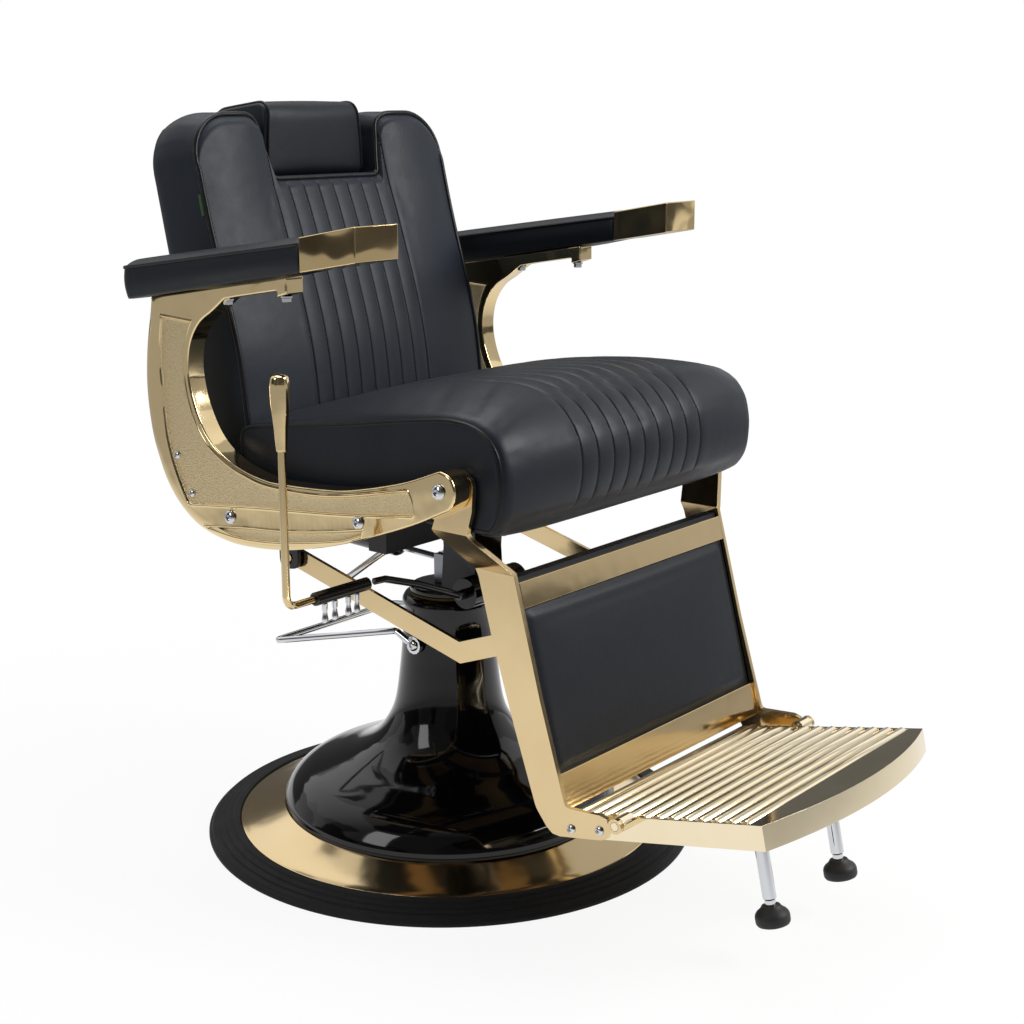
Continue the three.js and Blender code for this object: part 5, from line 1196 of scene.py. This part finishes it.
METAL_COPIES = (
    ("calf_plate_right", "leg_strap_right", "gold_plate", gold_plate, 0.9, 25),
    ("calf_plate_left", "leg_strap_left", "gold_plate", gold_plate, 0.9, 25),
    ("calf_top_bar", "calf_bar_upper", "gold_plate", gold_plate, 0.8, 30),
    ("calf_bottom_bar", "calf_bar_lower", "gold_plate", gold_plate, 0.8, 30),
    ("recline_link_right", "link_bar_right", "gold_plate", gold_plate, 0.7, 30),
    ("recline_link_left", "link_bar_left", "gold_plate", gold_plate, 0.7, 30),
    ("foot_frame", "foot_tray", "gold_tread", gold_tread, 1.2, 30),
    ("arm_cap_right", "hand_cap_right", "gold_casting", gold_cap, 1.6, 30),
    ("arm_cap_left", "hand_cap_left", "gold_casting", gold_cap, 1.6, 30),
    ("seat_frame", "seat_chassis", "dark_steel", frame_paint, 0.8, 35),
    ("back_frame", "back_chassis", "dark_steel", frame_paint, 0.8, 35),
    ("pump_head", "pump_casting", "black_enamel", enamel, 1.2, 40),
    ("gas_spring_lug", "spring_lug", "grey_steel", zinc, 0.6, 40),
    ("lever_crank", "lever_crank_rod", "black_enamel", handle_black, 0.0, 60),
    ("lever_sleeve", "lever_sleeve_tube", "black_enamel", handle_black, 0.8, 60),
    ("lever_rod", "lever_upright", "gold_plate", gold_plate, 0.0, 60),
    ("foot_bar", "foot_hoop", "chrome", chrome, 0.0, 60),
    ("gas_cylinder", "spring_cylinder", "black_enamel", handle_black, 0.8, 50),
    ("release_lever", "release_rod", "chrome", chrome, 0.5, 60),
    ("release_valve", "valve_screw", "chrome", chrome, 0.5, 45),
)
for node, name, slot, material, bevel, angle in METAL_COPIES:
    finished(node, name, material, bevel, angle)
print("bevelled copies", len(METAL_COPIES))

# %% [markdown]
# ## Other CAD parts
# The remaining solids already have the right shape, so they only take their finishes.

# %% Finishes on CAD parts
PLAIN_PARTS = (("base_plate", frame_paint), ("guide_bush", bronze), ("hydraulic_cylinder", zinc),
               ("seat_board", plywood), ("gas_rod", chrome), ("ram", chrome), ("headrest_stem_right", chrome),
               ("headrest_stem_left", chrome))
for node, material in PLAIN_PARTS:
    frame["nodes"][node].data.materials.clear()
    frame["nodes"][node].data.materials.append(material)
print("plain parts", len(PLAIN_PARTS))

# %% [markdown]
# ## Arm castings
# Each arm is one polished casting, open in front like a C. Its rear sweep is broadly rounded, the edge of the C
# is a narrow roll, and two panels are sunk into its faces with a stippled ground and a raised bead round
# them. The outline is traced in the side view: the sweep, the nose in front, the opening of the C and the
# bracket under the pad.

# %% Outline of the casting
ARM_INNER, ARM_OUTER = 261.0, 288.5
ARM_MIDDLE, ARM_HALF = (ARM_INNER + ARM_OUTER) / 2, (ARM_OUTER - ARM_INNER) / 2
OUTLINE_POINTS, SWEEP_SHARE = 620, 0.43


def arm_top(y):
    """Underside of the arm pad, less a hair: where the casting ends upwards."""
    return pad_seat(y) - 0.3


def bracket_low(y):
    """Underside of the bracket that runs forward under the pad."""
    return arm_top(y) - 15.0


sweep = spline([(228, arm_top(228)), (243, 665), (249, 605), (243, 550), (231, 514), (215, 483), (190, 456),
                (154, 435.5), (104, 426.5), (46, 428), (-12, 436), (-92, 456), (-194, 492), (-258, 521)], 14)
nose = spline([(-258, 521), (-265, 532), (-266, 545), (-259, 558), (-244, 563)], 8)
opening = spline([(-244, 563), (-187, 542), (-110, 523), (-61, 517), (-4, 514), (30, 514), (71, 521), (106, 534),
                  (131, 553), (148, 578), (160, 610), (163, 640), (156, 669), (139, 692), (116, 707),
                  (92, bracket_low(92) - 0.5)], 14)
bracket = np.array([(70, bracket_low(70)), (1, bracket_low(1)), (1, bracket_low(1) - 7),
                    (-15, bracket_low(-15) - 5), (-15, arm_top(-15))])
arm_outline = spaced(np.concatenate([sweep, nose[1:], opening[1:], bracket]), OUTLINE_POINTS)
print("casting outline", arm_outline.shape)

# %% [markdown]
# Both panels are outlines too, each from curves along its sides.

# %% Outlines of the panels
upper_panel = spaced(np.concatenate([
    spline([(213, 698), (219, 650), (217, 603), (213, 553), (204, 519), (191, 490), (176, 464)], 12),
    spline([(168, 462), (42, 476), (-93, 489), (-206, 504)], 12),
    spline([(-209, 508), (-206, 524), (-200, 536)], 6),
    spline([(-196, 537), (-77, 513.5), (20, 509.5), (68, 517), (103, 529), (135, 549), (156, 580), (166, 611),
            (168, 643), (161, 674), (150, 695)], 12),
]), 420)
lower_panel = spaced(np.concatenate([
    spline([(147, 443), (72, 453), (8, 459), (-59, 469), (-127, 482)], 10),
    spline([(-131, 480), (-127, 470)], 4),
    spline([(-122, 468), (-85, 456), (9, 439), (80, 433.5), (138, 437)], 10),
]), 260)
print("panels", upper_panel.shape, lower_panel.shape)

# %% [markdown]
# The plate is drawn as rings. An outline is drawn inwards step by step along its normals, while its level
# rises from the edge to the face, and each panel goes down from the face in the same way. Flat areas between
# the rings are filled by a constrained triangulation.

# %% Insets and fills
def inside_loop(loop, inset):
    """Loop drawn in by inset, a length or one for each point, along its normals. A normal is square to the
    smoothed tangent, and the loop's signed area tells which way is out."""
    tangent = np.roll(loop, -2, axis=0) - np.roll(loop, 2, axis=0)
    tangent /= np.linalg.norm(tangent, axis=1, keepdims=True) + 1e-12
    normal = np.stack([tangent[:, 1], -tangent[:, 0]], -1)
    area = np.sum(loop[:, 0] * np.roll(loop[:, 1], -1) - np.roll(loop[:, 0], -1) * loop[:, 1])
    return loop - (normal if area > 0 else -normal) * np.asarray(inset).reshape(-1, 1)


def within(points, loop):
    """True for points inside a closed loop: an edge is crossed an odd number of times on the way to the right."""
    a, b = loop[None], np.roll(loop, -1, axis=0)[None]
    p = points[:, None]
    spans = (a[..., 1] > p[..., 1]) != (b[..., 1] > p[..., 1])
    rise = np.where(b[..., 1] == a[..., 1], 1.0, b[..., 1] - a[..., 1])
    at = a[..., 0] + (p[..., 1] - a[..., 1]) * (b[..., 0] - a[..., 0]) / rise
    return np.sum(spans & (p[..., 0] < at), axis=1) % 2 == 1


def filled(outline, holes):
    """Triangles that fill an outline with holes, as numbers into the points of all loops in turn."""
    points = np.concatenate([outline, *holes])
    edges, start = [], 0
    for loop in (outline, *holes):
        index = np.arange(len(loop)) + start
        edges += np.stack([index, np.roll(index, -1)], -1).tolist()
        start += len(loop)
    found = delaunay_2d_cdt([Vector(p) for p in points], edges, [], 0, 1e-5)
    origin = np.array([ids[0] if ids else -1 for ids in found[3]])
    faces = origin[np.array(found[2])]
    faces = faces[(faces >= 0).all(axis=1)]
    middle = points[faces].mean(axis=1)
    keep = within(middle, outline)
    for hole in holes:
        keep &= ~within(middle, hole)
    return faces[keep].tolist()


print("triangles in a lower panel", len(filled(lower_panel, [])))

# %% [markdown]
# The shell gathers those rings. Its faces are numbered by material: 0 is the polished gold and 1 the ground.

# %% Shell of rings
POLISHED, GROUND = 0, 1
PANEL_STEPS = ((0.0, 0.0), (0.6, 0.35), (1.4, 0.75), (2.2, 0.85), (3.0, 0.6), (3.6, 0.0), (4.2, -1.0), (5.0, -1.9),
               (6.0, -2.4))


class Shell:
    """Points and faces gathered loop by loop, each loop at a level over the plate's middle plane."""

    def __init__(self):
        self.points, self.faces, self.slots, self.count = [], [], [], 0

    def loop(self, flat, level):
        """Add a loop and return its numbers."""
        self.points.append(np.concatenate([np.broadcast_to(level, len(flat))[:, None], flat], axis=1))
        index = np.arange(len(flat)) + self.count
        self.count += len(flat)
        return index

    def keep(self, faces, slot):
        """Add faces of one material."""
        self.faces += faces
        self.slots += [slot] * len(faces)

    def band(self, below, above, slot=POLISHED):
        """Join two loops of the same length."""
        self.keep(quads(closed(np.stack([below, above]), 1)).tolist(), slot)

    def fill(self, loops, indices, slot=POLISHED):
        """Fill the first loop, less the others."""
        numbers = np.concatenate(indices)
        self.keep([[int(numbers[v]) for v in face] for face in filled(loops[0], loops[1:])], slot)


def panel_recess(shell, outline, sign):
    """Bead, wall and floor of one sunk panel; returns the numbers of the loop that meets the face."""
    rings = []
    for inset, rise in PANEL_STEPS:
        flat = inside_loop(outline, inset)
        rings.append(shell.loop(flat, sign * (ARM_HALF + rise)))
        if len(rings) > 1:
            shell.band(rings[-2], rings[-1], POLISHED if inset < 5 else GROUND)
    shell.fill([flat], rings[-1:], GROUND)
    return rings[0]


print("panel rings", len(PANEL_STEPS))

# %% [markdown]
# The edge of the casting is a quarter ellipse, whose inset and drop change along the outline.

# %% Arm castings
EDGE_RINGS, EVEN_WIDTH = 9, 25


def roll_widths():
    """Inset and drop of the rounded edge: broad on the rear sweep, a narrow roll elsewhere."""
    y, z = arm_outline.T
    on_sweep = np.arange(OUTLINE_POINTS) < OUTLINE_POINTS * SWEEP_SHARE
    broad = smoothstep(60, 150, y) * smoothstep(712, 690, z) * on_sweep
    bend = smoothstep(-150, 60, y) * on_sweep * (1 - broad)
    kernel = np.hanning(EVEN_WIDTH) / np.hanning(EVEN_WIDTH).sum()
    reach = EVEN_WIDTH // 2
    return [np.convolve(np.concatenate([values[-reach:], values, values[:reach]]), kernel, mode="valid")
            for values in (2.6 + 15.0 * broad + 5.0 * bend, 2.2 + 6.0 * broad + 2.5 * bend)]


def arm_shell():
    """Casting about its middle plane, x outwards: two faces with their recesses, joined round the edge."""
    shell = Shell()
    inset, drop = roll_widths()
    rims = {}
    for sign, panels in ((1, [upper_panel, lower_panel]), (-1, [upper_panel])):
        rings = []
        for turn in np.linspace(0, np.pi / 2, EDGE_RINGS):
            flat = inside_loop(arm_outline, inset * (1 - math.cos(turn)))
            rings.append(shell.loop(flat, sign * (ARM_HALF - drop * (1 - math.sin(turn)))))
            if len(rings) > 1:
                shell.band(rings[-2], rings[-1])
        rims[sign] = rings[0]
        sunk = [panel_recess(shell, panel, sign) for panel in panels]
        shell.fill([flat, *panels], [rings[-1], *sunk])
    shell.band(rims[-1], rims[1])
    return shell


shell = arm_shell()
for side, name in SIDES:
    placed = np.concatenate(shell.points) * np.array([side, 1, 1]) + np.array([side * ARM_MIDDLE, 0, 0])
    mesh = bpy.data.meshes.new("arm_" + name)
    mesh.from_pydata((placed * MM).tolist(), [], shell.faces)
    mesh.materials.append(gold_cast)
    mesh.materials.append(gold_ground)
    mesh.polygons.foreach_set("material_index", np.array(shell.slots, dtype=np.int32))
    work = bmesh.new()
    work.from_mesh(mesh)
    bmesh.ops.recalc_face_normals(work, faces=work.faces)
    work.to_mesh(mesh)
    work.free()
    evened(hung("arm_frame_" + name, mesh, "seat", ["arm_casting_" + name], sharp=50))
print("arm casting faces", len(shell.faces))

# %% [markdown]
# ## Screws and bolts
# The arms are held by plated bolts with domed heads and round sockets; smaller round-head screws fix trim.
# Each is a lathe profile along X with its socket sunk into the dome.

# %% Domed bolts
SOCKET, CASTING_FACE = 0.42, 288.8


def domed_bolt(name, yz, side, seat, head, height, shank, inner, body="seat", replaces=()):
    """Bolt along X: shank from inner to seat, then a dome of radius head whose middle holds a socket."""
    angle = np.linspace(0, np.pi / 2, 10)
    dome = [(head * math.cos(a) ** 0.8 if a < 1.5 else 0.0, seat + height * math.sin(a)) for a in angle]
    top = seat + height
    profile = [(0, inner), (shank, inner), (shank, seat), (head * 0.97, seat), (head, seat + 0.4)]
    profile += [(r, h + 0.4) for r, h in dome[1:] if r > SOCKET * head]
    profile += [(SOCKET * head, top), (0.40 * head, top - 0.2), (0.37 * head, top - 0.55 * height),
                (0, top - 0.55 * height)]
    points, faces = lathe(profile, yz, 30, axis="x")
    piece(name, points * np.array([side, 1, 1]), faces, body, chrome, replaces, sharp=30)


for side, name in SIDES:
    domed_bolt("bolt_arm_" + name, (-122, 487), side, CASTING_FACE, 8.0, 4.6, 5.0, 256.0,
               replaces=["arm_bolt_" + name])
    domed_bolt("bolt_leg_" + name, (-244, 540), side, CASTING_FACE, 9.0, 4.8, 6.0, 251.5,
               replaces=["leg_pivot_bolt_" + name])
    domed_bolt("bolt_recline_" + name, (95, 460), side, CASTING_FACE, 9.0, 4.8, 8.0, 190.2,
               replaces=["recline_pin_" + name])
    for number, place in enumerate(((192, 524), (167, 479)), 1):
        domed_bolt(f"panel_screw_{name}_{number}", place, side, 286.0, 5.2, 3.4, 2.4, 281.0)
    for number, place in enumerate(((-368, 158), (-407, 167)), 1):
        domed_bolt(f"toe_screw_{name}_{number}", place, side, 210.6, 5.6, 3.0, 2.6, 206.0, "legrest")
    domed_bolt("hoop_screw_" + name, (0, 262), side, 70.9, 7.6, 3.6, 4.0, 64.5, "base",
               ["foot_bar_screw_" + name])

# %% [markdown]
# Four bullet-shaped screws clamp the lever's rod under its black sleeve. Short bolts under the bracket hold the
# arm pad; each has a washer.

# %% Clamp screws and bracket bolts
LEVER_X, LEVER_Y = -365, -82
bullet = [(0, 365.2), (2.4, 365.2), (3.4, 366.2), (4.0, 368.5), (4.0, 371), (3.2, 374), (2.7, 378), (2.9, 380),
          (3.6, 381.5), (3.6, 388.4), (0, 388.4)]
for number, x in enumerate((-306, -290, -268, -254), 1):
    turned(f"clamp_screw_{number}", bullet, 28, "hand_lever", chrome, [f"lever_set_screw_{number}"],
           centre=(x, LEVER_Y))

for side, name in SIDES:
    for number, (y, below) in enumerate(((100.0, 0.5), (-0.5, 6.8)), 1):
        top = bracket_low(y) - below
        bolt = [(0, top - 7.5), (4.6, top - 7.5), (5.6, top - 6.6), (5.6, top - 2.4), (4.4, top - 2.0),
                (7.0, top - 1.8), (7.0, top), (0, top)]
        turned(f"bracket_bolt_{name}_{number}", bolt, 24, "seat", chrome, sharp=25,
               centre=(side * ARM_MIDDLE, y))
print("bullet profile", len(bullet), "points")

# %% [markdown]
# ## Sewn tab
# A loop of tape, sewn into the seam of the back near the right shoulder. It is left bare.

# %% Sewn tab
TAB_LOW, TAB_LENGTH, TAB_TURNS = 314, 26, 9
tab_turn = np.linspace(0, np.pi, TAB_TURNS)
tab = np.array([on_back(-224.4 - 2.4 * np.sin(tab_turn), 4 + 3 * np.cos(tab_turn), np.full(TAB_TURNS, TAB_LOW + u))
                for u in np.linspace(0, TAB_LENGTH, 14)])
tab_rings = np.concatenate([tab, (tab + np.array([1.2, 0, 0]))[:, ::-1]], axis=1)
piece("sewn_tab", tab_rings.reshape(-1, 3), ring_faces(len(tab_rings), 2 * TAB_TURNS), "back", tab_cloth,
      sharp=50)
print("tab rings", len(tab_rings))

# %% [markdown]
# ## Lever grip
# A turned handle, slim where it meets the rod and swelling to a rounded top.

# %% Lever grip
grip_line = spline([(6.2, 578), (7.0, 590), (8.4, 606), (10.0, 622), (10.9, 638), (11.0, 650), (10.2, 657)], 8)
grip_cap = [(10.2 * math.cos(a), 657 + 5 * math.sin(a)) for a in np.linspace(0, np.pi / 2, 9)[1:-1]]
grip_profile = [(0, 576), (5.4, 576), (6.0, 576.6), *grip_line, *grip_cap, (0, 662)]
turned("lever_handle", grip_profile, 40, "hand_lever", gold_cast, ["lever_grip"],
       centre=(LEVER_X, LEVER_Y))
print("grip profile", len(grip_profile), "points")

# %% [markdown]
# ## Foot tread
# The tread is cast with round ribs that run across the tray, with deep narrow gaps. Its section is a row of
# arcs over a thin skin, carried straight across; the CAD has the same ribs with eight sides.

# %% Foot tread
FOOT_TILT = math.radians(12.56)
FOOT_Y, FOOT_Z, TRAY_FRONT, TRAY_REAR, TREAD_HALF = -427, 177, -597, -347, 184 - 5 - 0.3
TREAD_BASE, SKIN, RIB_SUNK, RIB_RADIUS, RIB_PITCH, RIBS = -3.9, 3, 1.6, 7.2, 19.2, 12


def on_foot(x, y, z):
    """Point of the tray: turned by the tray's tilt about the footrest's pivot."""
    return np.stack([x, FOOT_Y + y * math.cos(FOOT_TILT) + z * math.sin(FOOT_TILT),
                     FOOT_Z - y * math.sin(FOOT_TILT) + z * math.cos(FOOT_TILT)], -1)


tread_front = 17.3 + (TRAY_FRONT - FOOT_Y) / math.cos(FOOT_TILT)
tread_back = (TRAY_REAR - FOOT_Y) / math.cos(FOOT_TILT) - 5.3
start = math.asin((SKIN - RIB_SUNK) / RIB_RADIUS)
angle = np.linspace(np.pi - start, start, 14)
middles = tread_front + RIB_RADIUS + 0.4 + np.arange(RIBS)[:, None] * RIB_PITCH
ribs = np.stack([middles + RIB_RADIUS * np.cos(angle), TREAD_BASE + RIB_SUNK + RIB_RADIUS * np.sin(angle)
                 + 0 * middles], -1).reshape(-1, 2)
line = np.concatenate([[(tread_front, TREAD_BASE), (tread_front, TREAD_BASE + SKIN)], ribs,
                       [(tread_back, TREAD_BASE + SKIN), (tread_back, TREAD_BASE)]])
line = line[line[:, 0] <= tread_back + 1e-6]
x_rows = np.array([-TREAD_HALF, -TREAD_HALF + 0.3, -TREAD_HALF + 1.2, 0, TREAD_HALF - 1.2, TREAD_HALF - 0.3,
                   TREAD_HALF])
dip = np.array([1.2, 0.5, 0, 0, 0, 0.5, 1.2])
XT, KT = np.meshgrid(x_rows, np.arange(len(line)), indexing="ij")
rings = on_foot(XT, line[KT, 0], line[KT, 1] - dip[:, None] * (line[KT, 1] > TREAD_BASE + 1))
piece("tread_ribs", rings.reshape(-1, 3), ring_faces(len(x_rows), len(line)), "footrest", gold_tread,
      ["foot_tread"], sharp=35)
print("tread section", len(line), "points")

# %% [markdown]
# ## Feet of the tray
# Two chromed tubes carry the tray's front on rubber feet when it rests on the floor. Tubes and feet are turned
# parts square to the tray, so they lean with it.

# %% Tray legs and feet
TRAY_LEG_X, TRAY_LEG_Y = 77.3, -96
leg = [(0, -128.7), (6.6, -128.7), (6.6, -122.7), (7.2, -121.6), (8, -120.6), (8, -8), (8.6, -7.2), (13.6, -7.2),
       (14, -6.8), (14, -4.4), (13.8, -4.2), (0, -4.2)]
foot = [(0, -152), (16.6, -152), (18.4, -151.2), (19.6, -149.4), (20, -147.6), (20, -141.5), (19.2, -138.6),
        (17.3, -136), (13.6, -133.2), (12, -131.4), (10.6, -129.2), (9.6, -129), (0, -129)]
for side, name in SIDES:
    for part, profile, sides, slot, material, node in (("tray_leg_", leg, 40, "chrome", chrome, "foot_leg_"),
                                                       ("tray_foot_", foot, 48, "black_rubber", foot_rubber,
                                                        "foot_pad_")):
        points, faces = lathe(profile, (side * TRAY_LEG_X, TRAY_LEG_Y), sides)
        piece(part + name, on_foot(*points.T), faces, "footrest", material, [node + name], sharp=35)
print("leg and foot profiles", len(leg), len(foot))

# %% Last update
bpy.context.view_layer.update()
